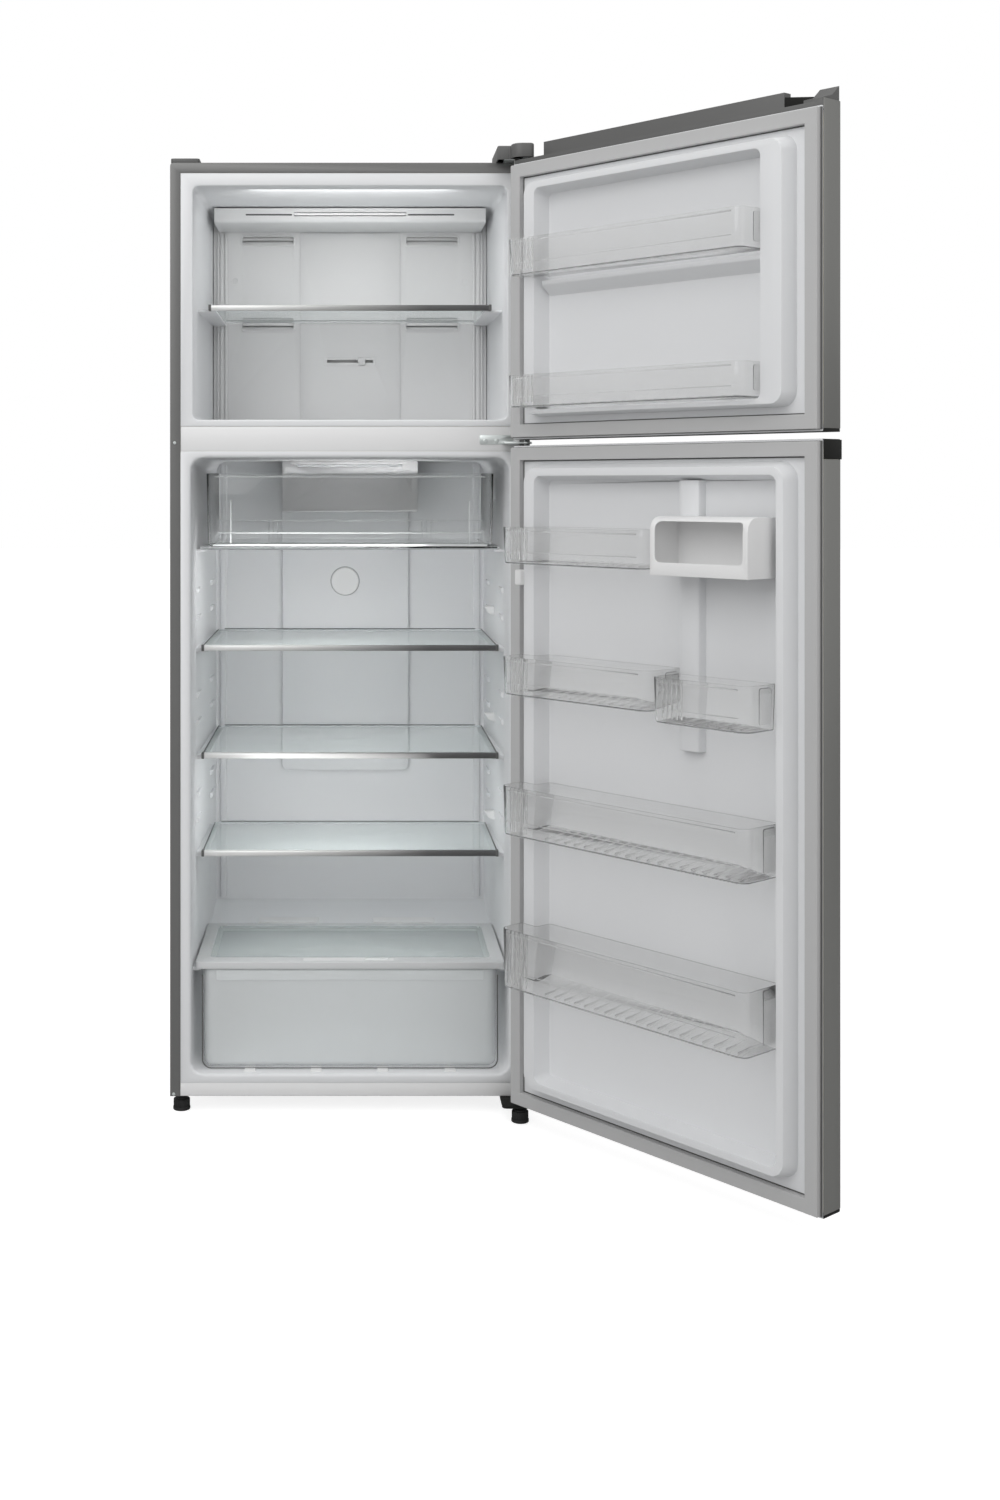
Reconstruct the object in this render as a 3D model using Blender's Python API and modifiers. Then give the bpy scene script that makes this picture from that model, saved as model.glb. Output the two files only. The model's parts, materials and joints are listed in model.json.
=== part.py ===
"""Top freezer refrigerator, modelled as an assembly of separate pieces.

Sizes are in metres, +Z up.  Every piece is modelled in the cabinet's own frame: X runs across
the cabinet from its centre line, Y runs from the front flange (Y = 0) to the back, and Z is
the height above the floor.  The doors are modelled closed and hang from empties on their
hinge axes, which hold them open at DOOR_OPEN.  The whole cabinet frame hangs from one empty
that puts the origin at the centre of the floor area which the open refrigerator covers.
"""

import math

import bmesh
import bpy
from mathutils import Matrix, Vector

MM = 0.001

# ---------------------------------------------------------------- driving dimensions
CABINET_HALF = 350 * MM
CABINET_DEPTH = 640 * MM
CABINET_TOP = 1850 * MM
CABINET_BOTTOM = 34 * MM
SHEET = 1 * MM
SHELL_RADIUS = 6 * MM
FLANGE = 20 * MM
GAP = 0.3 * MM
LINER_WALL = 2 * MM
FLANGE_PLATE = 2 * MM
FOAM_FRONT = 3.6 * MM
BACK_PANEL_Y = 638 * MM

FREEZER_HALF = 306 * MM
FREEZER_HALF_BACK = 294 * MM
FREEZER_FLOOR = 1350 * MM
FREEZER_CEILING = 1805 * MM
FREEZER_BACK = 545 * MM
FREEZER_CORNER = 12 * MM

FRIDGE_HALF = 310 * MM
FRIDGE_HALF_BACK = 300 * MM
FRIDGE_FLOOR = 77 * MM
FRIDGE_CEILING = 1276 * MM
FRIDGE_BACK = 530 * MM
FRIDGE_CORNER = 25 * MM

MULLION_BOTTOM = 1289 * MM
MULLION_TOP = 1337 * MM
FASCIA_TOP = 60 * MM

HUMP_FRONT = 400 * MM          # the step in the fridge floor over the machine compartment
HUMP_TOP = 270 * MM
HUMP_SLOPE = 0.18
HUMP_FOAM = 39 * MM
TRAY_TOP = 46.3 * MM

HINGE_X = 340 * MM
HINGE_Y = -39 * MM
DOOR_OPEN = math.radians(130)
DOOR_FRONT = -65 * MM
DOOR_PLATE_BACK = -12 * MM
DOOR_PLATE_FRONT = -14 * MM
DOOR_EDGE_RADIUS = 8 * MM
CAP_THICKNESS = 5 * MM
DYKE_CREST = 20 * MM
RECESS_FLOOR = -16 * MM
GASKET_HALF = 346 * MM
GASKET_WIDTH = 24 * MM
GASKET_FACE = -1 * MM
PIN_RADIUS = 4.7 * MM
PIN_HOLE = 5 * MM
BOSS_RADIUS = 8.2 * MM
BOSS_DEPTH = 15 * MM

FREEZER_DOOR_BOTTOM = 1310 * MM
FREEZER_DOOR_TOP = 1837 * MM
FREEZER_SKIN_TOP = 1849 * MM
FREEZER_RIDGE_TOP = 1878 * MM
FRIDGE_DOOR_BOTTOM = 39 * MM
FRIDGE_DOOR_TOP = 1298 * MM
GRIP_CAP_DEPTH = 33 * MM       # the black end of the fridge door's top cap, down its free side

SHELF_FRONT = 88 * MM
SHELF_BACKS = {"top": 510 * MM, "middle": 510 * MM, "bottom": 403 * MM}
SHELF_HALF = 296 * MM
SHELF_TOPS = {"top": 903 * MM, "middle": 688 * MM, "bottom": 493 * MM}
SHELF_GLASS = 4 * MM
FRIDGE_GLASS_DROP = 6 * MM       # from the top of the trim down to the underside of the glass
FREEZER_GLASS_DROP = 8 * MM
SHELF_TRIM_HEIGHT = 11 * MM
SHELF_TRIM_DEPTH = 12 * MM
FREEZER_SHELF_TOP = 1581 * MM
FREEZER_SHELF_FRONT = 75 * MM
FREEZER_SHELF_BACK = 385 * MM
FREEZER_SHELF_HALF = 281 * MM

FOOT_RADIUS = 17 * MM
LEFT_FOOT = (-330 * MM, 30 * MM)
RIGHT_FOOT = (327 * MM, -39 * MM)
ROLLER_RADIUS = 16.8 * MM
ROLLER_WIDTH = 14 * MM
ROLLER_X = 322 * MM
ROLLER_Y = 598 * MM
FAN_CENTRE = (0.0, 428 * MM, 1655 * MM)
INLET_REAR = 644 * MM


def opened(x, y):
    """Plan position, with the door open, of a point given with the door closed."""
    dx, dy = x - HINGE_X, y - HINGE_Y
    return (HINGE_X + dx * math.cos(DOOR_OPEN) - dy * math.sin(DOOR_OPEN),
            HINGE_Y + dx * math.sin(DOOR_OPEN) + dy * math.cos(DOOR_OPEN))


# the floor area covered with both doors open: its centre is the model's origin
REACH_RIGHT = opened(-CABINET_HALF, DOOR_FRONT)[0]
REACH_FRONT = opened(-GASKET_HALF, GASKET_FACE)[1]
ORIGIN_X = (REACH_RIGHT - CABINET_HALF) / 2
ORIGIN_Y = (REACH_FRONT + INLET_REAR) / 2

FINISHES = {
    # name: (colour, roughness, metallic, alpha)
    "shell_steel": ((0.16, 0.16, 0.16), 0.45, 0.6, 1.0),
    "door_steel": ((0.30, 0.30, 0.29), 0.35, 0.8, 1.0),
    "galvanised": ((0.55, 0.57, 0.58), 0.4, 0.9, 1.0),
    "zinc": ((0.75, 0.78, 0.77), 0.35, 0.9, 1.0),
    "liner_white": ((0.78, 0.79, 0.80), 0.35, 0.0, 1.0),
    "trim_white": ((0.82, 0.82, 0.82), 0.4, 0.0, 1.0),
    "foam": ((0.85, 0.78, 0.55), 0.9, 0.0, 1.0),
    "gasket_grey": ((0.50, 0.50, 0.50), 0.6, 0.0, 1.0),
    "cap_black": ((0.02, 0.02, 0.02), 0.5, 0.0, 1.0),
    "cap_grey": ((0.10, 0.10, 0.10), 0.5, 0.0, 1.0),
    "clear": ((0.90, 0.93, 0.94), 0.1, 0.0, 0.35),
    "shelf_glass": ((0.80, 0.88, 0.87), 0.05, 0.0, 0.3),
    "satin_metal": ((0.60, 0.60, 0.60), 0.3, 0.9, 1.0),
    "rubber_black": ((0.02, 0.02, 0.02), 0.8, 0.0, 1.0),
    "coil_metal": ((0.65, 0.66, 0.67), 0.35, 0.9, 1.0),
    "compressor_black": ((0.03, 0.03, 0.03), 0.4, 0.3, 1.0),
}


# ---------------------------------------------------------------- scene and object helpers
def clear_scene():
    for item in list(bpy.data.objects):
        bpy.data.objects.remove(item, do_unlink=True)


def new_collection(name):
    collection = bpy.data.collections.new(name)
    bpy.context.scene.collection.children.link(collection)
    return collection


def finish(name):
    """The Principled material with this name from FINISHES, made once."""
    material = bpy.data.materials.get(name)
    if material is None:
        colour, roughness, metallic, alpha = FINISHES[name]
        material = bpy.data.materials.new(name)
        material.use_nodes = True
        shader = material.node_tree.nodes["Principled BSDF"]
        shader.inputs["Base Color"].default_value = (*colour, 1.0)
        shader.inputs["Roughness"].default_value = roughness
        shader.inputs["Metallic"].default_value = metallic
        shader.inputs["Alpha"].default_value = alpha
        material.diffuse_color = (*colour, alpha)
    return material


def to_object(name, bm, smooth=False):
    """Close the bmesh into a new object that stands at the cabinet frame's origin."""
    bmesh.ops.recalc_face_normals(bm, faces=bm.faces)
    mesh = bpy.data.meshes.new(name)
    bm.to_mesh(mesh)
    bm.free()
    if smooth:
        mesh.shade_smooth()
        mesh.set_sharp_from_angle(angle=math.radians(35))
    return bpy.data.objects.new(name, mesh)


class Frame:
    """An empty that carries pieces: the whole cabinet, a door on its axis, or a slide."""

    def __init__(self, name, point=(0, 0, 0), turn=0.0, parent=None):
        self.point = Vector(point)
        self.empty = bpy.data.objects.new(name, None)
        self.empty.empty_display_size = 0.05
        PARTS.objects.link(self.empty)
        if parent is None:
            self.empty.location = self.point
            self.point = Vector((0, 0, 0))
        else:
            self.empty.parent = parent.empty
            self.empty.location = self.point - parent.point
        self.empty.rotation_euler = (0, 0, turn)

    def hold(self, piece, material):
        """Hang a piece, modelled in the cabinet frame, from this frame."""
        PARTS.objects.link(piece)
        piece.data.materials.append(finish(material))
        piece.parent = self.empty
        piece.location = -self.point
        return piece

    def tool(self, piece):
        """Keep a shape that only cuts or joins others, in the same frame."""
        CUTTERS.objects.link(piece)
        piece.hide_render = True
        piece.display_type = "WIRE"
        piece.parent = self.empty
        piece.location = -self.point
        return piece


def combine(piece, tool, operation="DIFFERENCE"):
    modifier = piece.modifiers.new(f"{operation.lower()} {tool.name}", "BOOLEAN")
    modifier.operation = operation
    modifier.solver = "EXACT"
    modifier.object = tool
    return piece


def cut(frame, piece, *tools):
    for tool in tools:
        combine(piece, frame.tool(tool))
    return piece


def join(frame, piece, *tools):
    for tool in tools:
        combine(piece, frame.tool(tool), "UNION")
    return piece


# ---------------------------------------------------------------- shapes
def block_mesh(lo, hi):
    """A cube primitive sized to the box between two corners."""
    lo, hi = Vector(lo), Vector(hi)
    bm = bmesh.new()
    size = hi - lo
    matrix = Matrix.Translation((lo + hi) / 2) @ Matrix.Diagonal((*size, 1.0))
    bmesh.ops.create_cube(bm, size=1.0, matrix=matrix)
    return bm


def edges_along(bm, axis, keep=None):
    """Edges parallel to an axis (0, 1 or 2) whose middle passes the keep test."""
    found = []
    for edge in bm.edges:
        a, b = (v.co for v in edge.verts)
        direction = (b - a).normalized()
        if abs(direction[axis]) > 0.999 and (keep is None or keep((a + b) / 2)):
            found.append(edge)
    return found


def round_edges(bm, edges, radius, segments=3):
    bmesh.ops.bevel(bm, geom=edges, offset=radius, segments=segments,
                    profile=0.5, affect="EDGES", clamp_overlap=True)


def block(name, lo, hi, rounded=None, radius=0.0, segments=3, keep=None):
    """A box, with the edges along one axis rounded if rounded names that axis."""
    bm = block_mesh(lo, hi)
    if rounded is not None:
        round_edges(bm, edges_along(bm, rounded, keep), radius, segments)
    return to_object(name, bm)


def cylinder(name, centre, radius, depth, axis="Z", segments=24, top_radius=None):
    """A cylinder or cone on a centre point, along X, Y or Z."""
    turns = {"X": Matrix.Rotation(math.pi / 2, 4, "Y"),
             "Y": Matrix.Rotation(-math.pi / 2, 4, "X"),
             "Z": Matrix.Identity(4)}
    bm = bmesh.new()
    bmesh.ops.create_cone(bm, cap_ends=True, segments=segments, radius1=radius,
                          radius2=radius if top_radius is None else top_radius,
                          depth=depth, matrix=Matrix.Translation(centre) @ turns[axis])
    return to_object(name, bm, smooth=True)


def inset_outline(corners, distance):
    """Move a closed outline of (x, y, radius) corners inwards, for an outline drawn anticlockwise."""
    moved = []
    count = len(corners)
    for i, (x, y, radius) in enumerate(corners):
        before = Vector(corners[i - 1][:2])
        here = Vector((x, y))
        after = Vector(corners[(i + 1) % count][:2])
        d1, d2 = (here - before).normalized(), (after - here).normalized()
        n1, n2 = Vector((-d1.y, d1.x)), Vector((-d2.y, d2.x))
        turn = d1.x * d2.y - d1.y * d2.x
        point = here + (n1 + n2) * (distance / (1 + n1.dot(n2)))
        new_radius = radius - distance if turn > 0 else radius + distance
        moved.append((point.x, point.y, max(new_radius, 0.5 * MM)))
    return moved


def filleted(corners, segments):
    """Points of a closed outline whose corners are rounded by arcs."""
    points = []
    count = len(corners)
    for i, (x, y, radius) in enumerate(corners):
        here = Vector((x, y))
        to_before = (Vector(corners[i - 1][:2]) - here).normalized()
        to_after = (Vector(corners[(i + 1) % count][:2]) - here).normalized()
        half = to_before.angle(to_after) / 2
        reach = radius / math.tan(half)
        start, end = here + to_before * reach, here + to_after * reach
        centre = here + (to_before + to_after).normalized() * (radius / math.sin(half))
        for step in range(segments + 1):
            arm = (start - centre).lerp(end - centre, step / segments)
            points.append(centre + arm.normalized() * radius)
    return points


def rectangle(x0, x1, y0, y1, radius):
    return [(x0, y0, radius), (x1, y0, radius), (x1, y1, radius), (x0, y1, radius)]


def loft(name, axis, sections, segments=4):
    """A solid lofted through rounded outlines, each given as (corners, level), with capped ends.

    Along "Z" an outline is in (x, y), and along "Y" it is in (x, z).
    """
    place = {"Z": lambda p, level: (p.x, p.y, level), "Y": lambda p, level: (p.x, level, p.y)}
    bm = bmesh.new()
    rings = []
    for corners, level in sections:
        points = filleted(corners, segments)
        rings.append([bm.verts.new(place[axis](p, level)) for p in points])
    for lower, upper in zip(rings, rings[1:]):
        for i in range(len(lower)):
            j = (i + 1) % len(lower)
            bm.faces.new((lower[i], lower[j], upper[j], upper[i]))
    bm.faces.new(rings[0])
    bm.faces.new(rings[-1])
    return to_object(name, bm)


def tub(name, corners, base, rim, wall, edge=4 * MM, slant=0.0, segments=4):
    """A walled tray: its floor is at base and its open rim at rim, above or below it."""
    way = 1 if rim > base else -1
    shell = [
        (inset_outline(corners, slant + edge), base),
        (inset_outline(corners, slant + edge * 0.3), base + way * edge * 0.3),
        (inset_outline(corners, slant), base + way * edge),
        (corners, rim),
        (inset_outline(corners, wall), rim),
        (inset_outline(corners, slant + wall), base + way * (edge + wall)),
        (inset_outline(corners, slant + wall + edge * 0.7), base + way * wall),
    ]
    return loft(name, "Z", shell, segments)


def prism(name, outline, x0, x1):
    """A flat outline in (y, z), filled as a 2D curve and extruded along X."""
    curve = bpy.data.curves.new(name, "CURVE")
    curve.dimensions = "2D"
    curve.fill_mode = "BOTH"
    curve.extrude = (x1 - x0) / 2
    spline = curve.splines.new("POLY")
    spline.points.add(len(outline) - 1)
    for point, (y, z) in zip(spline.points, outline):
        point.co = (y, z, 0, 1)
    spline.use_cyclic_u = True
    holder = bpy.data.objects.new(name, curve)
    bpy.context.scene.collection.objects.link(holder)
    bpy.context.view_layer.update()
    evaluated = holder.evaluated_get(bpy.context.evaluated_depsgraph_get())
    bm = bmesh.new()
    bm.from_mesh(bpy.data.meshes.new_from_object(evaluated))
    bpy.data.objects.remove(holder, do_unlink=True)
    bmesh.ops.remove_doubles(bm, verts=bm.verts, dist=0.01 * MM)
    # the curve's x, y and z become the cabinet's y, z and x
    turn = Matrix(((0, 0, 1, (x0 + x1) / 2), (1, 0, 0, 0), (0, 1, 0, 0), (0, 0, 0, 1)))
    bmesh.ops.transform(bm, matrix=turn, verts=bm.verts)
    return to_object(name, bm)


def tube(name, points, radius):
    """A bent tube with filled ends, as one closed mesh."""
    curve = bpy.data.curves.new(name, "CURVE")
    curve.dimensions = "3D"
    curve.bevel_depth = radius
    curve.bevel_resolution = 2
    curve.use_fill_caps = True
    spline = curve.splines.new("POLY")
    spline.points.add(len(points) - 1)
    for point, place in zip(spline.points, points):
        point.co = (*place, 1)
    holder = bpy.data.objects.new(name, curve)
    bpy.context.scene.collection.objects.link(holder)
    bpy.context.view_layer.update()
    evaluated = holder.evaluated_get(bpy.context.evaluated_depsgraph_get())
    bm = bmesh.new()
    bm.from_mesh(bpy.data.meshes.new_from_object(evaluated))
    bpy.data.objects.remove(holder, do_unlink=True)
    bmesh.ops.remove_doubles(bm, verts=bm.verts, dist=0.01 * MM)
    return to_object(name, bm, smooth=True)


def turned(name, profile, centre, steps=24):
    """A turned piece: (radius, height) points, from the top axis point down, spun about Z."""
    mesh = bpy.data.meshes.new(name)
    bm = bmesh.new()
    verts = [bm.verts.new((radius, 0, height)) for radius, height in profile]
    for a, b in zip(verts, verts[1:]):
        bm.edges.new((a, b))
    bm.to_mesh(mesh)
    bm.free()
    piece = bpy.data.objects.new(name, mesh)
    screw = piece.modifiers.new("spin", "SCREW")
    screw.steps = steps
    screw.render_steps = steps
    screw.use_merge_vertices = True
    screw.merge_threshold = 0.01 * MM
    screw.use_smooth_shade = True
    piece.location = centre
    return piece


# ---------------------------------------------------------------- cabinet volumes
def freezer_space(name, grow=0.0, front=-5 * MM):
    """The freezer cavity, or that cavity grown on every wall."""
    def at(half, y):
        corners = rectangle(-half - grow, half + grow, FREEZER_FLOOR - grow,
                            FREEZER_CEILING + grow, FREEZER_CORNER + grow)
        return corners, y
    return loft(name, "Y", [at(FREEZER_HALF, front), at(FREEZER_HALF_BACK, FREEZER_BACK + grow)])


def fridge_space(name, frame, grow=0.0, front=-5 * MM):
    """The fridge cavity with the machine hump taken out, or that cavity grown on every wall."""
    def at(half, y):
        corners = rectangle(-half - grow, half + grow, FRIDGE_FLOOR - grow,
                            FRIDGE_CEILING + grow, FRIDGE_CORNER + grow)
        return corners, y
    space = loft(name, "Y", [at(FRIDGE_HALF, front), at(FRIDGE_HALF_BACK, FRIDGE_BACK + grow)])
    reach = FRIDGE_BACK + 40 * MM
    start = HUMP_FRONT + grow
    top = HUMP_TOP - grow
    hump = prism(name + "_hump", [
        (start, 20 * MM), (reach, 20 * MM), (reach, top + (reach - HUMP_FRONT) * HUMP_SLOPE),
        (start, top)], -CABINET_HALF, CABINET_HALF)
    return cut(frame, space, hump)


def ledges(name, inner, y0, y1, z0, z1):
    """A pair of shelf ledges, as tools to leave standing in a cavity."""
    pair = []
    for side, sign in (("left", -1), ("right", 1)):
        xs = sorted((sign * inner, sign * (CABINET_HALF - 5 * MM)))
        pair.append(block(f"{name}_{side}", (xs[0], y0, z0), (xs[1], y1, z1)))
    return pair


# ---------------------------------------------------------------- cabinet
def build_shell(root):
    top_only = lambda middle: middle.z > 1 - 500 * MM
    shell = root.hold(block("cabinet_shell", (-CABINET_HALF, 0, CABINET_BOTTOM),
                            (CABINET_HALF, CABINET_DEPTH, CABINET_TOP), 1, SHELL_RADIUS, 3,
                            top_only), "shell_steel")
    inside = CABINET_HALF - SHEET
    cut(root, shell,
        block("shell_inside", (-inside, SHEET, 0), (inside, 1, CABINET_TOP - SHEET), 1,
              SHELL_RADIUS - SHEET, 3, top_only),
        block("shell_opening", (-CABINET_HALF + FLANGE, -1, 0),
              (CABINET_HALF - FLANGE, 5 * MM, CABINET_TOP - FLANGE)))
    half = inside - GAP
    root.hold(block("back_panel", (-half, BACK_PANEL_Y, 302.5 * MM),
                    (half, BACK_PANEL_Y + 1.2 * MM, CABINET_TOP - SHEET - GAP), 1,
                    SHELL_RADIUS - SHEET, 3, top_only), "galvanised")


def build_base(root):
    """The base tray with the white fascia that closes the cabinet below the fridge."""
    half = CABINET_HALF - SHEET - GAP
    base = root.hold(block("base_panel", (-half, 1.5 * MM, CABINET_BOTTOM + GAP),
                           (half, 636 * MM, TRAY_TOP)), "trim_white")
    wall = 1.5 * MM
    cut(root, base, block("tray_inside", (-half + wall, 1.5 * MM + wall, CABINET_BOTTOM + GAP + wall),
                          (half - wall, 636 * MM - wall, 100 * MM)))
    opening = CABINET_HALF - FLANGE - GAP
    join(root, base, block("fascia", (-opening, GAP, 36 * MM), (opening, 3.3 * MM, FASCIA_TOP - GAP)))


def build_foam(root):
    half = CABINET_HALF - SHEET - GAP
    foam = root.hold(block("insulation_foam", (-half, FOAM_FRONT, TRAY_TOP + GAP),
                           (half, BACK_PANEL_Y - GAP, CABINET_TOP - SHEET - GAP), 1,
                           SHELL_RADIUS - SHEET, 3, lambda m: m.z > 1), "foam")
    grow = LINER_WALL + GAP
    front = HUMP_FRONT + HUMP_FOAM
    roof = HUMP_TOP - HUMP_FOAM
    rear = CABINET_DEPTH + 10 * MM
    machine_space = prism("machine_space", [
        (front, 20 * MM), (rear, 20 * MM), (rear, roof + (rear - HUMP_FRONT) * HUMP_SLOPE),
        (front, roof)], -CABINET_HALF, CABINET_HALF)
    cut(root, foam, freezer_space("foam_freezer_space", grow),
        fridge_space("foam_fridge_space", root, grow), machine_space, air_channel("foam_channel", GAP))


def air_channel(name, grow):
    """The duct that carries cold air from the evaporator down to the fridge."""
    return block(name, (-60 * MM - grow, 470 * MM - grow, FRIDGE_CEILING - 6 * MM),
                 (60 * MM + grow, 515 * MM + grow, FREEZER_FLOOR + 6 * MM))


def build_liners(root):
    opening = CABINET_HALF - FLANGE - GAP
    y0, y1 = GAP, GAP + FLANGE_PLATE

    freezer = root.hold(block("freezer_liner", (-opening, y0, MULLION_TOP + GAP),
                              (opening, y1, CABINET_TOP - FLANGE - GAP)), "liner_white")
    join(root, freezer, freezer_space("freezer_outside", LINER_WALL, y0 + 0.5 * MM))
    cavity = freezer_space("freezer_cavity")
    under = FREEZER_SHELF_TOP - FREEZER_GLASS_DROP
    cut(root, cavity, *ledges("freezer_ledge", 268 * MM, 92 * MM, 390 * MM, under - 5 * MM, under - GAP))
    cut(root, freezer, cavity, air_channel("freezer_channel", 0))

    fridge = root.hold(block("fridge_liner", (-opening, y0, FASCIA_TOP),
                             (opening, y1, MULLION_BOTTOM - GAP)), "liner_white")
    join(root, fridge, fridge_space("fridge_outside", root, LINER_WALL, y0 + 0.5 * MM))
    cavity = fridge_space("fridge_cavity", root)
    for name, top in SHELF_TOPS.items():
        under = top - FRIDGE_GLASS_DROP
        cut(root, cavity, *ledges(f"{name}_ledge", 284 * MM, 101 * MM, SHELF_BACKS[name] - 5 * MM,
                                  under - 8 * MM, under - GAP))
    cut(root, cavity, *ledges("chiller_ledge", 290 * MM, 110 * MM, 425 * MM, 1089 * MM, 1093.7 * MM))
    cut(root, cavity, *ledges("crisper_ledge", 294 * MM, 40 * MM, 330 * MM, 268 * MM, 274.2 * MM))
    cut(root, fridge, cavity, air_channel("fridge_channel", 0))

    root.hold(block("mullion_plate", (-opening, 1 * MM, MULLION_BOTTOM),
                    (opening, 3.3 * MM, MULLION_TOP)), "trim_white")


def build_freezer_inside(root):
    cover_front, cover_back = 398 * MM, 402 * MM
    cover = root.hold(block("evaporator_cover", (-296 * MM, cover_front, 1350.4 * MM),
                            (296 * MM, cover_back, 1804.6 * MM), 1, 12 * MM, 3), "trim_white")
    join(root, cover, block("cover_centre", (-108 * MM, cover_front - 4 * MM, 1356 * MM),
                            (108 * MM, cover_front + 1 * MM, 1769 * MM)))
    for side in (-1, 1):
        for z0, z1 in ((1743, 1762), (1558, 1586)):
            xs = sorted((side * 122 * MM, side * 234 * MM))
            cut(root, cover, block(f"vent_{side}_{z0}", (xs[0], 380 * MM, z0 * MM),
                                   (xs[1], 420 * MM, z1 * MM), 1, 4 * MM, 2))
    cut(root, cover, block("damper_slot", (-50 * MM, 380 * MM, 1488 * MM),
                           (50 * MM, 420 * MM, 1494 * MM)))

    housing = root.hold(block("freezer_light_housing", (-284 * MM, 255 * MM, 1771 * MM),
                              (284 * MM, cover_front - GAP, 1802 * MM), 0, 6 * MM, 2,
                              lambda m: m.y < 300 * MM and m.z < 1790 * MM), "trim_white")
    cut(root, housing,
        block("housing_inside", (-280 * MM, 259 * MM, 1775 * MM), (280 * MM, 394 * MM, 1900 * MM)),
        block("lamp_window", (-117 * MM, 240 * MM, 1785 * MM), (117 * MM, 265 * MM, 1793 * MM)))

    passes, radius = 6, 5 * MM
    step = 28 * MM
    points = []
    for i in range(passes):
        z = 1385 * MM + i * step
        ends = (-235 * MM, 235 * MM) if i % 2 == 0 else (235 * MM, -235 * MM)
        points += [(ends[0], 480 * MM, z), (ends[1], 480 * MM, z)]
        if i < passes - 1:
            out = math.copysign(12 * MM, ends[1])
            points += [(ends[1] + out, 480 * MM, z + step * 0.3), (ends[1] + out, 480 * MM, z + step * 0.7)]
    root.hold(tube("evaporator_coil", points, radius), "coil_metal")


def build_fan(root):
    axis = Frame("evaporator_fan_axis", FAN_CENTRE, parent=root)
    x, y, z = FAN_CENTRE
    fan = axis.hold(cylinder("evaporator_fan", (x, y, z), 18 * MM, 16 * MM, "Y", 20), "cap_black")
    blades = 5
    for i in range(blades):
        bm = block_mesh((-14 * MM, -1 * MM, 14 * MM), (14 * MM, 1 * MM, 52 * MM))
        pitch = Matrix.Rotation(math.radians(28), 4, "Z")
        spread = Matrix.Rotation(2 * math.pi * i / blades, 4, "Y")
        bmesh.ops.transform(bm, matrix=Matrix.Translation(FAN_CENTRE) @ spread @ pitch, verts=bm.verts)
        join(axis, fan, to_object(f"fan_blade_{i}", bm))


def build_fridge_inside(root):
    """The air duct on the back wall, and its control cover."""
    panel = root.hold(block("fridge_duct_panel", (-151.5 * MM, 517 * MM, 585 * MM),
                            (130.5 * MM, FRIDGE_BACK - GAP, 1141.7 * MM), 1, 12 * MM, 3,
                            lambda m: m.z < 1), "liner_white")
    cut(root, panel, block("duct_inside", (-148.5 * MM, 520 * MM, 590 * MM), (127.5 * MM, 560 * MM, 1200 * MM)))

    cover = root.hold(block("control_cover", (-148 * MM, 428 * MM, 1142 * MM),
                            (148 * MM, FRIDGE_BACK - GAP, FRIDGE_CEILING - 0.4 * MM), 0, 5 * MM, 2,
                            lambda m: m.y < 450 * MM and m.z < 1200 * MM), "trim_white")
    cut(root, cover,
        block("cover_inside", (-145.5 * MM, 430.5 * MM, 1144.5 * MM), (145.5 * MM, 560 * MM, 1273 * MM)),
        block("cover_inlet", (-60 * MM, 470 * MM, 1260 * MM), (60 * MM, 515 * MM, 1290 * MM)),
        block("lamp_slot", (-115 * MM, 400 * MM, 1262 * MM), (115 * MM, 440 * MM, 1268 * MM)),
        block("cover_outlet", (-120 * MM, 520 * MM, 1130 * MM), (120 * MM, 560 * MM, 1150 * MM)),
        *[block(f"slider_slot_{i}", (x0 * MM, 400 * MM, 1215 * MM), (x1 * MM, 440 * MM, 1219 * MM))
          for i, (x0, x1) in enumerate(((-114, -14), (8, 108)))])


def slider(root, name, knob_x, knob_z, face, half_width, half_height, proud, stem_back, material):
    """A knob that slides in a slot: a grip outside the cover and a stem through the slot."""
    frame = Frame(f"{name}_slide", (knob_x, face, knob_z), parent=root)
    grip = frame.hold(block(name, (knob_x - half_width, face - proud, knob_z - half_height),
                            (knob_x + half_width, face - GAP, knob_z + half_height)), material)
    join(frame, grip, block(f"{name}_stem", (knob_x - half_width * 0.5, face - 1 * MM, knob_z - 1.5 * MM),
                            (knob_x + half_width * 0.5, stem_back, knob_z + 1.5 * MM)))


def build_sliders(root):
    slider(root, "duct_slider_left", -59 * MM, 1217 * MM, 428 * MM, 10 * MM, 3 * MM, 4 * MM,
           434 * MM, "cap_black")
    slider(root, "duct_slider_right", 54 * MM, 1217 * MM, 428 * MM, 10 * MM, 3 * MM, 4 * MM,
           434 * MM, "cap_black")
    slider(root, "freezer_air_slider", 25 * MM, 1491 * MM, 394 * MM, 8 * MM, 8 * MM, 4 * MM,
           406 * MM, "trim_white")


def build_shelves(root):
    for name, top in SHELF_TOPS.items():
        build_shelf(root, f"fridge_shelf_{name}", SHELF_HALF, 294 * MM, SHELF_FRONT, SHELF_BACKS[name], top,
                    FRIDGE_GLASS_DROP)
    build_shelf(root, "freezer_shelf", FREEZER_SHELF_HALF, 281 * MM, FREEZER_SHELF_FRONT,
                FREEZER_SHELF_BACK, FREEZER_SHELF_TOP, FREEZER_GLASS_DROP)


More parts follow.
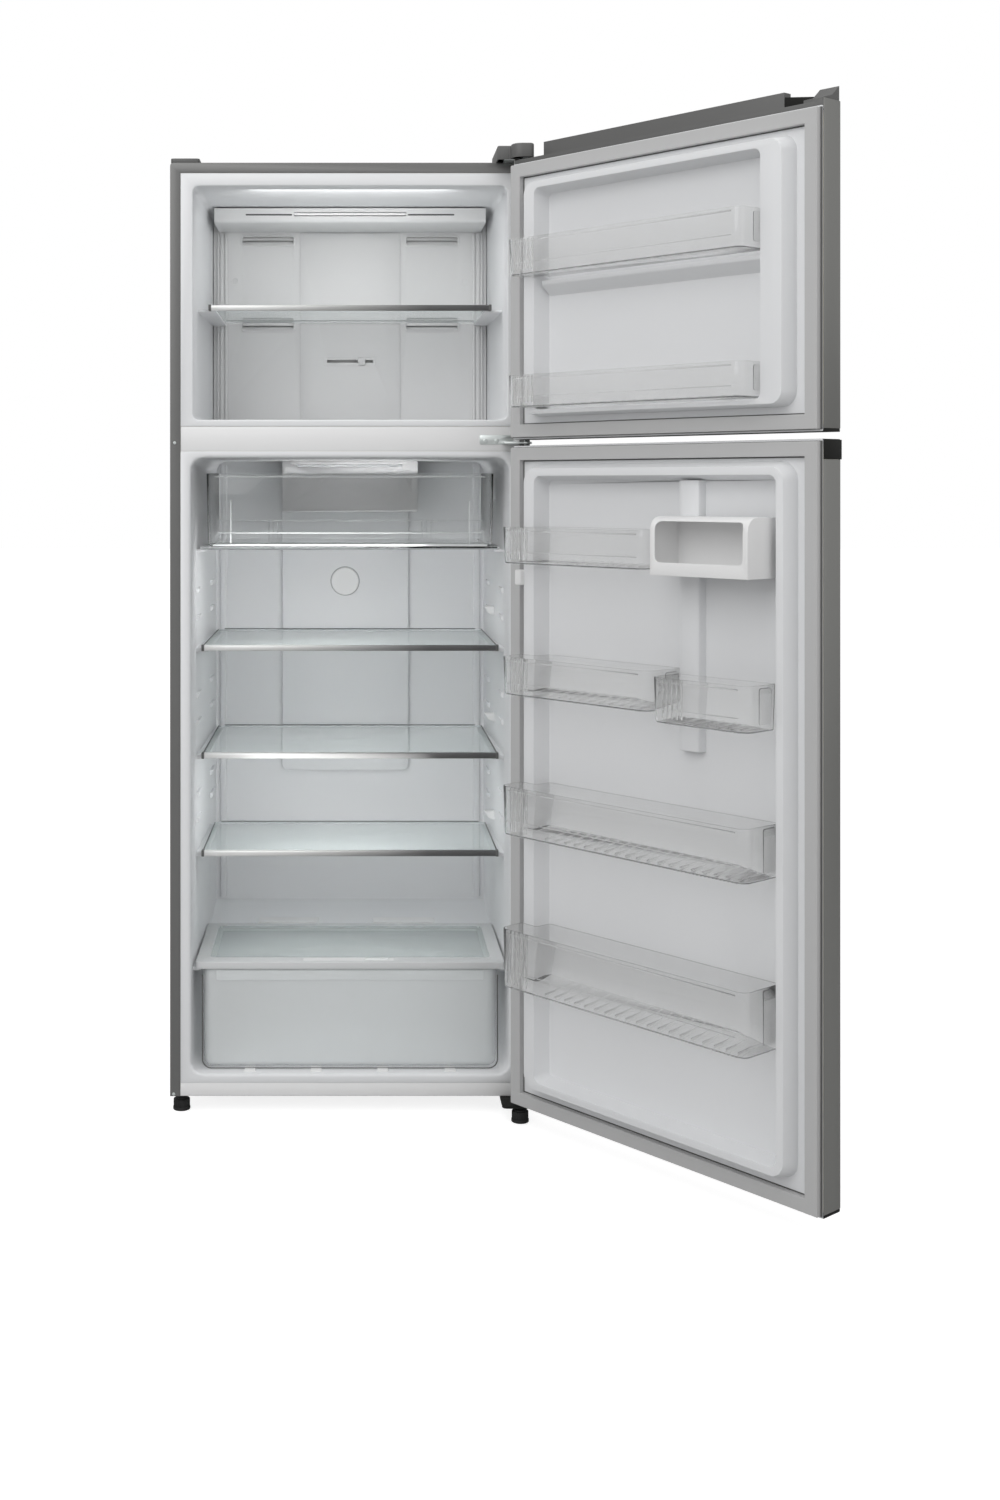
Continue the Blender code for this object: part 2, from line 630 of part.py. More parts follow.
def build_shelf(root, name, half, half_back, front, back, top, drop):
    """A glass pane whose front edge sits in a metal trim; its underside lies drop below the trim's top."""
    frame = Frame(f"{name}_slide", (0, front, top), parent=root)
    under = top - drop
    over = under + SHELF_GLASS
    seat = front + 4 * MM
    bm = block_mesh((-half + 1 * MM, seat + GAP, under), (half - 1 * MM, back, over))
    for vert in bm.verts:
        if vert.co.y > back - 1 * MM:
            vert.co.x *= half_back / half
    round_edges(bm, edges_along(bm, 2, lambda m: m.y > back - 1 * MM), 12 * MM, 3)
    frame.hold(to_object(f"{name}_glass", bm), "shelf_glass")
    trim = frame.hold(block(f"{name}_trim", (-half, front, top - SHELF_TRIM_HEIGHT),
                            (half, front + SHELF_TRIM_DEPTH, top), 0, 2 * MM, 2,
                            lambda m: m.y < front + 1 * MM), "satin_metal")
    cut(frame, trim, block(f"{name}_groove", (-half - 1 * MM, seat, under - GAP),
                           (half + 1 * MM, front + 50 * MM, over + GAP)))


def build_chiller(root):
    root.hold(block("chiller_shelf", (-300 * MM, 90 * MM, 1094 * MM),
                    (300 * MM, 422 * MM, 1100 * MM), 2, 8 * MM, 2), "clear")
    frame = Frame("chiller_drawer_slide", (0, 92 * MM, 1101 * MM), parent=root)
    corners = rectangle(-288 * MM, 288 * MM, 92 * MM, 412 * MM, 16 * MM)
    frame.hold(tub("chiller_drawer", corners, 1100.4 * MM, 1246 * MM, 2.5 * MM, slant=3 * MM), "clear")


def build_crisper(root):
    """The drawer, the cover it slides under, and the humidity slider on the cover."""
    cover = root.hold(block("crisper_cover", (-302.5 * MM, 26 * MM, 274.5 * MM),
                            (302.5 * MM, 334 * MM, 287.5 * MM), 2, 6 * MM, 2), "trim_white")
    cut(root, cover,
        block("cover_recess", (-278 * MM, 64 * MM, 283.5 * MM), (278 * MM, 312 * MM, 300 * MM), 2, 10 * MM, 2),
        block("cover_underside", (-290 * MM, 38 * MM, 260 * MM), (290 * MM, 322 * MM, 279.5 * MM)),
        block("humidity_slot", (-83 * MM, 45 * MM, 265 * MM), (77 * MM, 50 * MM, 300 * MM)))

    frame = Frame("crisper_drawer_slide", (0, 30 * MM, 80 * MM), parent=root)
    corners = rectangle(-290 * MM, 290 * MM, 30 * MM, 332 * MM, 22 * MM)
    frame.hold(tub("crisper_drawer", corners, 79.5 * MM, 273 * MM, 2.5 * MM, edge=14 * MM,
                   slant=2 * MM), "clear")

    knob = Frame("humidity_slider_slide", (53 * MM, 47.5 * MM, 287.5 * MM), parent=root)
    grip = knob.hold(block("humidity_slider", (30 * MM, 41 * MM, 287.8 * MM),
                           (76 * MM, 55 * MM, 290 * MM)), "trim_white")
    join(knob, grip, block("humidity_stem", (36 * MM, 46 * MM, 282 * MM),
                           (70 * MM, 49 * MM, 288 * MM)))


# ---------------------------------------------------------------- hinges, feet and machine
def build_hinges(root):
    plate = 3 * MM
    top_z = CABINET_TOP + GAP
    hinge = root.hold(block("top_hinge", (298 * MM, -28 * MM, top_z), (346 * MM, 88 * MM, top_z + plate)),
                      "zinc")
    join(root, hinge,
         block("top_hinge_arm", (332 * MM, HINGE_Y, top_z), (346 * MM, -20 * MM, top_z + plate)),
         cylinder("top_hinge_eye", (HINGE_X, HINGE_Y, top_z + plate / 2), 8 * MM, plate),
         cylinder("top_hinge_pin", (HINGE_X, HINGE_Y, top_z - 12 * MM), PIN_RADIUS, 26 * MM))

    # the cover's nose stays inside the circle which the door's raised ridge sweeps past
    cover = [(284 * MM, -33 * MM, 3 * MM), (309 * MM, -33 * MM, 2 * MM), (309 * MM, -64 * MM, 20 * MM),
             (352 * MM, -64 * MM, 8 * MM), (352 * MM, 100 * MM, 6 * MM), (284 * MM, 100 * MM, 6 * MM)]
    root.hold(tub("top_hinge_cover", cover, 1877 * MM, top_z, 2 * MM, edge=3 * MM), "cap_grey")

    middle = root.hold(block("middle_hinge", (252 * MM, -0.7 * MM, 1302 * MM),
                             (317 * MM, 0.7 * MM, 1320 * MM), 1, 3 * MM, 2), "zinc")
    join(root, middle,
         block("middle_arm", (296 * MM, -45 * MM, 1302 * MM), (346 * MM, 0, 1306 * MM)),
         cylinder("middle_eye", (HINGE_X, HINGE_Y, 1304 * MM), 10 * MM, 4 * MM),
         cylinder("middle_pin", (HINGE_X, HINGE_Y, 1304 * MM), PIN_RADIUS, 36 * MM))

    lower = root.hold(block("lower_hinge", (292 * MM, -54 * MM, 28.7 * MM),
                            (348 * MM, 80 * MM, CABINET_BOTTOM - GAP), 2, 8 * MM, 2), "zinc")
    join(root, lower, cylinder("lower_pin", (HINGE_X, HINGE_Y, 41 * MM), PIN_RADIUS, 22 * MM))


def build_feet(root):
    for name, (x, y), height in (("front_left_foot", LEFT_FOOT, 33.7 * MM),
                                 ("front_right_foot", RIGHT_FOOT, 28.4 * MM)):
        frame = Frame(f"{name}_axis", (x, y, 0), parent=root)
        foot = frame.hold(cylinder(name, (x, y, 5 * MM), FOOT_RADIUS, 10 * MM, "Z", 24, FOOT_RADIUS),
                          "rubber_black")
        join(frame, foot,
             cylinder(f"{name}_grip", (x, y, 15 * MM), FOOT_RADIUS - 2 * MM, 14 * MM, "Z", 12),
             cylinder(f"{name}_stud", (x, y, (9 * MM + height) / 2), 5 * MM, height - 9 * MM, "Z", 12))


def build_rollers(root):
    for name, side in (("rear_left_roller", -1), ("rear_right_roller", 1)):
        centre = (side * ROLLER_X, ROLLER_Y, ROLLER_RADIUS)
        frame = Frame(f"{name}_axis", centre, parent=root)
        frame.hold(cylinder(name, centre, ROLLER_RADIUS, ROLLER_WIDTH, "X", 28), "rubber_black")


def build_machine(root):
    """The compressor and the slotted cover that closes its compartment."""
    centre_x, centre_y = 150 * MM, 548 * MM
    profile = [(0, 232), (34, 230), (58, 218), (72, 196), (76, 150), (80, 146), (80, 138),
               (76, 134), (74, 84), (62, 62), (40, 54), (40, 44), (0, 44)]
    profile = [(radius * MM, height * MM) for radius, height in profile]
    compressor = turned("compressor", profile, (0, 0, 0))
    root.hold(compressor, "compressor_black")
    compressor.location = (centre_x, centre_y, 0)

    half = CABINET_HALF - SHEET - GAP
    cover = root.hold(block("machine_cover", (-half, BACK_PANEL_Y, 48 * MM),
                            (half, BACK_PANEL_Y + 1.2 * MM, 302 * MM)), "galvanised")
    slots = 8
    for i in range(slots):
        x = (i - (slots - 1) / 2) * 60 * MM
        for z in (110 * MM, 200 * MM):
            cut(root, cover, block(f"vent_{i}_{round(z / MM)}", (x - 22 * MM, 600 * MM, z),
                                   (x + 22 * MM, 660 * MM, z + 10 * MM)))
    inlet = (-280 * MM, 0, 150 * MM)
    cut(root, cover, cylinder("inlet_hole", (inlet[0], BACK_PANEL_Y, inlet[2]), 11.3 * MM, 20 * MM, "Y", 20))
    gland = root.hold(cylinder("power_inlet", (inlet[0], 640 * MM, inlet[2]), 11 * MM, 8 * MM, "Y", 20),
                      "cap_black")
    join(root, gland, cylinder("inlet_flange", (inlet[0], 641 * MM, inlet[2]), 15 * MM, 3 * MM, "Y", 20))
    cut(root, gland, cylinder("inlet_bore", (inlet[0], 640 * MM, inlet[2]), 4.5 * MM, 20 * MM, "Y", 12))


# ---------------------------------------------------------------- doors
def relief(sides, drop):
    """The door liner's face as lofted sections, or the same face dropped by a wall thickness.

    sides holds, for each line of the relief from its foot to its floor, the outline
    (x0, x1, z0, z1, radius).  A dropped face lies inside the raised dyke on both its slopes.
    """
    heights = (DOOR_PLATE_BACK, DYKE_CREST, DYKE_CREST, RECESS_FLOOR)
    signs = (1, 1, -1, -1)
    return [(inset_outline(rectangle(*line), sign * drop * 0.9), height - drop)
            for line, height, sign in zip(sides, heights, signs)]


def build_door(door, name, bottom, top, sides, skin_top):
    """Steel skin, foam core, moulded liner and gasket of a door, in its closed place."""
    skin = door.hold(block(f"{name}_skin", (-CABINET_HALF, DOOR_FRONT, bottom + CAP_THICKNESS + GAP),
                           (CABINET_HALF, DOOR_PLATE_FRONT - GAP, skin_top), 2, DOOR_EDGE_RADIUS, 3,
                           lambda m: m.y < -40 * MM), "door_steel")
    inside = CABINET_HALF - SHEET
    cut(door, skin, block(f"{name}_skin_inside", (-inside, DOOR_FRONT + SHEET, bottom - 1),
                          (inside, 50 * MM, top + 1), 2, DOOR_EDGE_RADIUS - SHEET, 3,
                          lambda m: m.y < -40 * MM))

    plate = rectangle(-inside, inside, bottom + GAP, top - GAP, 2 * MM)
    face = relief(sides, 0)
    back = relief(sides, LINER_WALL)
    door.hold(loft(f"{name}_liner", "Y",
                   [*reversed(back), (plate, DOOR_PLATE_FRONT), (plate, DOOR_PLATE_BACK), *face]),
              "liner_white")

    core_half = inside - GAP
    z0, z1 = bottom + CAP_THICKNESS + GAP, top - CAP_THICKNESS - GAP
    core = rectangle(-core_half, core_half, z0, z1, 10 * MM)
    front = DOOR_FRONT + SHEET + GAP
    foam = door.hold(loft(f"{name}_foam", "Y",
                          [(inset_outline(core, 8 * MM), front),
                           (inset_outline(core, 3 * MM), front + 3 * MM),
                           (core, front + 8 * MM), (core, DOOR_PLATE_FRONT - GAP),
                           *relief(sides, LINER_WALL + GAP)]), "foam")
    for end, z in (("bottom", z0 - 5 * MM), ("top", z1 + 5 * MM)):
        cut(door, foam, cylinder(f"{name}_{end}_socket", (HINGE_X, HINGE_Y, z), BOSS_RADIUS + GAP,
                                 2 * (BOSS_DEPTH + 5 * MM + GAP), "Z", 20))

    outer = (-GASKET_HALF, DOOR_PLATE_BACK + GAP, bottom + 4 * MM)
    gasket = door.hold(block(f"{name}_gasket", outer, (GASKET_HALF, GASKET_FACE, top - 4 * MM)),
                       "gasket_grey")
    inner = GASKET_HALF - GASKET_WIDTH
    cut(door, gasket, block(f"{name}_gasket_opening",
                            (-inner, -1, bottom + 4 * MM + GASKET_WIDTH),
                            (inner, 1, top - 4 * MM - GASKET_WIDTH)))
    return skin


def pin_boss(door, cap, name, z, way):
    """Give an end cap the boss that runs into the foam and the bore for the hinge pin."""
    centre = (HINGE_X, HINGE_Y, z + way * BOSS_DEPTH / 2)
    join(door, cap, cylinder(f"{name}_boss", centre, BOSS_RADIUS, BOSS_DEPTH, "Z", 20))
    cut(door, cap, cylinder(f"{name}_bore", (HINGE_X, HINGE_Y, z), PIN_HOLE, 60 * MM, "Z", 20))


def end_cap(door, name, z0, z1, boss_z, way):
    cap = door.hold(block(name, (-CABINET_HALF + 0.5 * MM, DOOR_FRONT + 0.5 * MM, z0),
                          (CABINET_HALF - 0.5 * MM, DOOR_PLATE_FRONT - GAP, z1), 2, DOOR_EDGE_RADIUS, 3,
                          lambda m: m.y < -40 * MM), "cap_black")
    pin_boss(door, cap, name, boss_z, way)
    return cap


def build_freezer_door(door):
    sides = [(-300 * MM, 305 * MM, 1352 * MM, 1798 * MM, 26 * MM),
             (-292 * MM, 291 * MM, 1356 * MM, 1790 * MM, 22 * MM),
             (-250 * MM, 265 * MM, 1364 * MM, 1778 * MM, 12 * MM),
             (-246 * MM, 259 * MM, 1367 * MM, 1770 * MM, 9 * MM)]
    bottom, top = FREEZER_DOOR_BOTTOM, FREEZER_DOOR_TOP
    build_door(door, "freezer_door", bottom, top, sides, FREEZER_SKIN_TOP)
    end_cap(door, "freezer_door_bottom_cap", bottom, bottom + CAP_THICKNESS, bottom + 4 * MM, 1)

    inside = CABINET_HALF - SHEET - GAP
    front = DOOR_FRONT + SHEET + GAP
    cap = door.hold(block("freezer_door_top_cap", (-inside, front, top - CAP_THICKNESS),
                          (inside, DOOR_PLATE_FRONT - GAP, top + 8 * MM), 2, DOOR_EDGE_RADIUS - SHEET, 3,
                          lambda m: m.y < -40 * MM), "cap_grey")
    ridge_left, ridge_right = HINGE_X - 590 * MM, HINGE_X - 38 * MM
    join(door, cap,
         block("cap_ridge", (ridge_left, front, top), (ridge_right, -46 * MM, FREEZER_RIDGE_TOP)),
         prism("cap_corner", [(-14.5 * MM, top), (-14.5 * MM, 1850 * MM), (-40 * MM, 1857 * MM),
                              (front + 4 * MM, 1874 * MM), (front + 4 * MM, top)],
               -inside + 1 * MM, -inside + 38 * MM))
    pin_boss(door, cap, "freezer_door_top_cap", top - 4 * MM, -1)

    for name, z0, z1 in (("freezer_bin_upper", 1613 * MM, 1680 * MM),
                         ("freezer_bin_lower", 1367.5 * MM, 1427 * MM)):
        door.hold(door_bin(name, -245 * MM, 64 * MM, z0, z1), "clear")


def door_bin(name, free_end, front, z0, z1, hinge_end=295 * MM, back=-14 * MM):
    """A clear bin: its back sits in the liner's recess and its hinge end laps over the dyke."""
    if hinge_end > 200 * MM:
        step_x, step_y = 256 * MM, DYKE_CREST + 0.8 * MM
        corners = [(free_end, back, 4 * MM), (step_x, back, 4 * MM), (step_x, step_y, 4 * MM),
                   (hinge_end, step_y, 6 * MM), (hinge_end, front, 16 * MM), (free_end, front, 16 * MM)]
    else:
        corners = [(free_end, back, 4 * MM), (hinge_end, back, 4 * MM), (hinge_end, front, 16 * MM),
                   (free_end, front, 16 * MM)]
    return tub(name, corners, z0, z1, 2 * MM, edge=5 * MM, slant=2 * MM, segments=3)


def build_fridge_door(door):
    sides = [(-302 * MM, 305 * MM, 85 * MM, 1262 * MM, 30 * MM),
             (-295 * MM, 291 * MM, 93 * MM, 1254 * MM, 26 * MM),
             (-281 * MM, 265 * MM, 107 * MM, 1240 * MM, 14 * MM),
             (-276 * MM, 259 * MM, 113 * MM, 1232 * MM, 10 * MM)]
    bottom, top = FRIDGE_DOOR_BOTTOM, FRIDGE_DOOR_TOP
    skin = build_door(door, "fridge_door", bottom, top, sides, top - CAP_THICKNESS - GAP)
    liner = bpy.data.objects["fridge_door_liner"]
    join(door, liner, block("liner_rib", (-110 * MM, RECESS_FLOOR - 1 * MM, 765 * MM),
                            (-63.5 * MM, 3 * MM, 1231 * MM), 2, 8 * MM, 2, lambda m: m.y > 0))
    end_cap(door, "fridge_door_bottom_cap", bottom, bottom + CAP_THICKNESS, bottom + 4 * MM, 1)

    cap = end_cap(door, "fridge_door_top_cap", top - CAP_THICKNESS, top, top - 4 * MM, -1)
    left = -CABINET_HALF
    join(door, cap, block("grip_end", (left + 0.2 * MM, DOOR_FRONT + SHEET + GAP, top - GRIP_CAP_DEPTH),
                          (left + SHEET, DOOR_PLATE_FRONT - GAP, top - 1 * MM)))
    cut(door, skin, block("grip_notch", (left - 1 * MM, DOOR_FRONT + SHEET, top - GRIP_CAP_DEPTH - GAP),
                          (left + SHEET + GAP, 0, top + 1 * MM)))

    for name, free_end, z0, z1 in (("door_bin_top", -55 * MM, 1078 * MM, 1145 * MM),
                                   ("door_bin_middle_left", -60 * MM, 835 * MM, 905 * MM),
                                   ("door_bin_wide", -265 * MM, 575 * MM, 665 * MM),
                                   ("bottle_bin", -265 * MM, 292 * MM, 400 * MM)):
        door.hold(door_bin(name, free_end, 79 * MM, z0, z1), "clear")
    door.hold(door_bin("door_bin_middle_right", -270 * MM, 79 * MM, 820 * MM, 897 * MM,
                       hinge_end=-66 * MM, back=4 * MM), "clear")
    build_dairy_box(door)


def build_dairy_box(door):
    """A hooded box with an open front above a low lip."""
    x0, x1, y0, y1, z0, z1 = (value * MM for value in (-270, -66, 4, 79, 1070, 1170))
    wall = 2 * MM
    box = door.hold(block("dairy_box", (x0, y0, z0), (x1, y1, z1), 0, 24 * MM, 4,
                          lambda m: m.y > y0 + 1 * MM and m.z > z0 + 1 * MM), "trim_white")
    cut(door, box,
        block("dairy_inside", (x0 + wall, y0 + wall, z0 + wall), (x1 - wall, y1 - wall, z1 - wall), 0,
              22 * MM, 4, lambda m: m.y > y0 + 10 * MM and m.z > z0 + 10 * MM),
        block("dairy_window", (x0 + 10 * MM, y1 - 30 * MM, z0 + 22 * MM),
              (x1 - 10 * MM, y1 + 10 * MM, z1 - 8 * MM), 1, 10 * MM, 3))


# ---------------------------------------------------------------- assembly
clear_scene()
PARTS = new_collection("top_freezer_refrigerator")
CUTTERS = new_collection("cutters")

cabinet = Frame("cabinet_frame", (-ORIGIN_X, -ORIGIN_Y, 0))
build_shell(cabinet)
build_base(cabinet)
build_foam(cabinet)
build_liners(cabinet)
build_freezer_inside(cabinet)
build_fan(cabinet)
build_fridge_inside(cabinet)
build_sliders(cabinet)
build_shelves(cabinet)
build_chiller(cabinet)
build_crisper(cabinet)
build_hinges(cabinet)
build_feet(cabinet)
build_rollers(cabinet)
build_machine(cabinet)

for door_name, build in (("freezer_door", build_freezer_door), ("fridge_door", build_fridge_door)):
    build(Frame(f"{door_name}_axis", (HINGE_X, HINGE_Y, 0), DOOR_OPEN, cabinet))

bpy.context.view_layer.update()
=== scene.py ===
"""Top freezer refrigerator with both doors open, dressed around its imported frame.

Every piece is modelled in millimetres in the cabinet's own frame: X runs across from the centre
line, Y from the front flange to the back, and Z is the height above the floor.  A door's pieces are
modelled with the door closed.  A Station then carries each finished piece to its place in metres.
"""
import json
import logging
import math
from dataclasses import dataclass, field
from enum import Enum
from itertools import product
from typing import Callable, Optional, Sequence

import bmesh
import bpy
from mathutils import Matrix, Vector


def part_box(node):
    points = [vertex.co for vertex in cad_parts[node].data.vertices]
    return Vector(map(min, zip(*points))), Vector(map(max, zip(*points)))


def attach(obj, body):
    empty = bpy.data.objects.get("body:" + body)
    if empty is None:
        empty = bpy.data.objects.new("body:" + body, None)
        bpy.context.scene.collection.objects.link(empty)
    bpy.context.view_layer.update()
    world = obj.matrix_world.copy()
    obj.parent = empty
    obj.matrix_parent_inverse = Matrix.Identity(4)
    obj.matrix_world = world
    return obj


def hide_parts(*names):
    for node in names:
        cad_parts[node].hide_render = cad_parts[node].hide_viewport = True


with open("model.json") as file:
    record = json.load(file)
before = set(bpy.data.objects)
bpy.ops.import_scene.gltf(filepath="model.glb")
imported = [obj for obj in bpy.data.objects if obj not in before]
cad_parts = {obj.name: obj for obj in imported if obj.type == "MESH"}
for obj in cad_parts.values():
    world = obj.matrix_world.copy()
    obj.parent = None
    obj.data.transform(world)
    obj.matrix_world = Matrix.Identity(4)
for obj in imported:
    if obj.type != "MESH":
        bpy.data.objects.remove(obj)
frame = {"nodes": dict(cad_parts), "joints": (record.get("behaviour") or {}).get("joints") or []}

LOG = logging.getLogger("refrigerator")
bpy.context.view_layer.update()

Point = Sequence[float]
Test = Callable[[Vector, Vector], bool]

MILLIMETRE = 0.001
MERGE_DISTANCE = 0.01
FLAT_ANGLE = math.radians(0.6)
SMOOTH_ANGLE = math.radians(38)
DOOR_OPEN = math.radians(130)
SIDES = (-1, 1)


# ------------------------------------------------------------------ places
def corners(node: str) -> tuple[Vector, Vector]:
    """Lowest and highest corner of a CAD node, in metres."""
    low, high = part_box(node)
    return Vector(low), Vector(high)


def joint_point(name: str) -> Vector:
    """A point on the axis of the named joint, in metres."""
    return next(Vector(joint["pos_m"]) for joint in frame["joints"] if joint["name"] == name)


SHELL_LOW, SHELL_HIGH = corners("cabinet_shell")
CABINET = (Matrix.Translation(((SHELL_LOW.x + SHELL_HIGH.x) / 2, SHELL_LOW.y, 0.0))
           @ Matrix.Scale(MILLIMETRE, 4))
HINGE = joint_point("fridge_door_hinge")
HINGE_LINE = Matrix.Translation((HINGE.x, HINGE.y, 0.0))
DOOR = HINGE_LINE @ Matrix.Rotation(DOOR_OPEN, 4, "Z") @ HINGE_LINE.inverted() @ CABINET


@dataclass(frozen=True)
class Station:
    """The body a piece belongs to, and the matrix from modelling millimetres to its place."""

    body: str
    matrix: Matrix = field(default_factory=CABINET.copy)


CASE = Station("cabinet")
FREEZER_DOOR = Station("freezer_door", DOOR)
FRIDGE_DOOR = Station("fridge_door", DOOR)


class Way(Enum):
    """The axis that a rod or a row of edges runs along."""

    X = 0
    Y = 1
    Z = 2


def side_name(side: int) -> str:
    """The name of a side that is given as -1 or 1."""
    return "left" if side < 0 else "right"


def span(side: int, near: float, far: float) -> tuple[float, float]:
    """The lower and the higher X of a stretch on one side of the centre line."""
    return min(side * near, side * far), max(side * near, side * far)


# ------------------------------------------------------------------ node trees
class Tree:
    """Adds nodes to a shader tree and links them."""

    def __init__(self, tree: bpy.types.NodeTree) -> None:
        """Work in this tree."""
        self.tree = tree

    def add(self, kind: str, inputs: Optional[dict] = None, **settings) -> bpy.types.Node:
        """Add a node.

        Args:
            kind: the node type without its ShaderNode prefix.
            inputs: values or sockets for its inputs, by name or number.
            settings: attributes set on the node itself.

        Returns:
            The new node.
        """
        node = self.tree.nodes.new(kind if kind.startswith("NodeGroup") else f"ShaderNode{kind}")
        for name, value in settings.items():
            setattr(node, name, value)
        self.fill(node, inputs or {})
        return node

    def fill(self, node: bpy.types.Node, inputs: dict) -> None:
        """Give a node's inputs their values, or the sockets that feed them."""
        for name, value in inputs.items():
            if isinstance(value, bpy.types.NodeSocket):
                self.tree.links.new(value, node.inputs[name])
            else:
                node.inputs[name].default_value = value

    def maths(self, operation: str, first, second=0.0) -> bpy.types.NodeSocket:
        """The result of a Math node on two values or sockets."""
        return self.add("Math", {0: first, 1: second}, operation=operation).outputs[0]

    def ramp(self, value: bpy.types.NodeSocket, low: float, high: float) -> bpy.types.NodeSocket:
        """Map a mask that runs from 0 to 1 to the range from low to high."""
        node = self.add("MapRange", {"Value": value, "To Min": low, "To Max": high})
        return node.outputs["Result"]


def new_group(name: str, inputs: Sequence[tuple[str, str, object]]
              ) -> tuple[Tree, bpy.types.Node, bpy.types.Node]:
    """Start a shader node group that gives a surface's colour, roughness and height.

    Args:
        name: the group's name.
        inputs: (name, kind, default) for each input, kind being Float, Color or Vector.

    Returns:
        A Tree that works in the group, and its input and output nodes.
    """
    group = bpy.data.node_groups.new(name, "ShaderNodeTree")
    for label, kind, default in inputs:
        socket = group.interface.new_socket(label, in_out="INPUT", socket_type=f"NodeSocket{kind}")
        socket.default_value = default
    for label, kind in (("Colour", "Color"), ("Roughness", "Float"), ("Height", "Float")):
        group.interface.new_socket(label, in_out="OUTPUT", socket_type=f"NodeSocket{kind}")
    tree = Tree(group)
    return tree, tree.add("NodeGroupInput"), tree.add("NodeGroupOutput")


def toned(tree: Tree, colour: bpy.types.NodeSocket, centred: bpy.types.NodeSocket,
          contrast: bpy.types.NodeSocket) -> bpy.types.NodeSocket:
    """A colour made lighter and darker by a noise that is centred on zero."""
    shade = tree.maths("ADD", tree.maths("MULTIPLY", centred, contrast), 1.0)
    return tree.add("VectorMath", {0: colour, "Scale": shade}, operation="SCALE").outputs[0]


def moulded_grain() -> bpy.types.NodeTree:
    """The faint mottling, uneven gloss and fine grain of a moulded or painted surface."""
    tree, given, result = new_group(
        "moulded_grain",
        [("Colour", "Color", (0.8, 0.8, 0.8, 1.0)), ("Mottle", "Float", 0.03),
         ("Roughness", "Float", 0.4), ("Gloss Change", "Float", 0.06),
         ("Cloud Scale", "Float", 6.0), ("Grain Scale", "Float", 900.0)])
    knobs = given.outputs
    where = tree.add("TexCoord").outputs["Object"]
    cloud = tree.add("TexNoise", {"Vector": where, "Scale": knobs["Cloud Scale"], "Detail": 3.0})
    grain = tree.add("TexNoise", {"Vector": where, "Scale": knobs["Grain Scale"], "Detail": 1.0})
    centred = tree.maths("SUBTRACT", cloud.outputs["Fac"], 0.5)
    gloss = tree.add("Math", {0: centred, 1: knobs["Gloss Change"], 2: knobs["Roughness"]},
                     operation="MULTIPLY_ADD")
    tree.fill(result, {"Colour": toned(tree, knobs["Colour"], centred, knobs["Mottle"]),
                       "Roughness": gloss.outputs[0], "Height": grain.outputs["Fac"]})
    return tree.tree


def brushed_lines() -> bpy.types.NodeTree:
    """Fine parallel brush lines: they run along the direction with the small stretch value."""
    tree, given, result = new_group(
        "brushed_lines",
        [("Colour", "Color", (0.6, 0.6, 0.6, 1.0)), ("Stretch", "Vector", (1.0, 600.0, 600.0)),
         ("Contrast", "Float", 0.15), ("Roughness", "Float", 0.3)])
    knobs = given.outputs
    where = tree.add("TexCoord").outputs["Object"]
    lines = tree.add("VectorMath", {0: where, 1: knobs["Stretch"]}, operation="MULTIPLY")
    streak = tree.add("TexNoise", {"Vector": lines.outputs[0], "Scale": 1.0, "Detail": 4.0})
    centred = tree.maths("SUBTRACT", streak.outputs["Fac"], 0.5)
    gloss = tree.maths("ADD", tree.maths("MULTIPLY", centred, 0.2), knobs["Roughness"])
    tree.fill(result, {"Colour": toned(tree, knobs["Colour"], centred, knobs["Contrast"]),
                       "Roughness": gloss, "Height": streak.outputs["Fac"]})
    return tree.tree


WHITE = (1.0, 1.0, 1.0, 1.0)
GROUPS: dict[str, bpy.types.NodeTree] = {}


def shared(builder: Callable[[], bpy.types.NodeTree]) -> bpy.types.NodeTree:
    """The node group that a builder makes, built on first use."""
    if builder.__name__ not in GROUPS:
        GROUPS[builder.__name__] = builder()
    return GROUPS[builder.__name__]


# ------------------------------------------------------------------ finishes
@dataclass(frozen=True)
class Finish:
    """A finish with its record slot: opaque, mottled and lightly grained in this base class."""

    name: str
    slot: str
    colour: tuple[float, float, float]
    roughness: float = 0.4
    metallic: float = 0.0
    mottle: float = 0.03
    grain_depth: float = 0.00002
    grain_scale: float = 900.0
    specular: float = 0.5

    def material(self) -> bpy.types.Material:
        """The Blender material of this finish, made on first use."""
        known = bpy.data.materials.get(self.name)
        if known is not None:
            return known
        material = bpy.data.materials.new(self.name)
        material.use_nodes = True
        material.diffuse_color = (*self.colour, 1.0)
        self.dress(Tree(material.node_tree), material.node_tree.nodes["Principled BSDF"])
        return material

    def dress(self, tree: Tree, shader: bpy.types.Node) -> None:
        """Set the shader up for this finish."""
        tree.fill(shader, {"Metallic": self.metallic, "Specular IOR Level": self.specular})
        surface = tree.add("Group", {"Colour": (*self.colour, 1.0), "Mottle": self.mottle,
                                     "Roughness": self.roughness, "Grain Scale": self.grain_scale},
                           node_tree=shared(moulded_grain))
        self.plug(tree, shader, surface, self.grain_depth)

    @staticmethod
    def plug(tree: Tree, shader: bpy.types.Node, surface: bpy.types.Node, depth: float) -> None:
        """Feed a surface group's colour, roughness and height, depth metres deep, to the shader."""
        bump = tree.add("Bump", {"Distance": depth, "Height": surface.outputs["Height"]})
        tree.fill(shader, {"Base Color": surface.outputs["Colour"],
                           "Roughness": surface.outputs["Roughness"],
                           "Normal": bump.outputs["Normal"]})


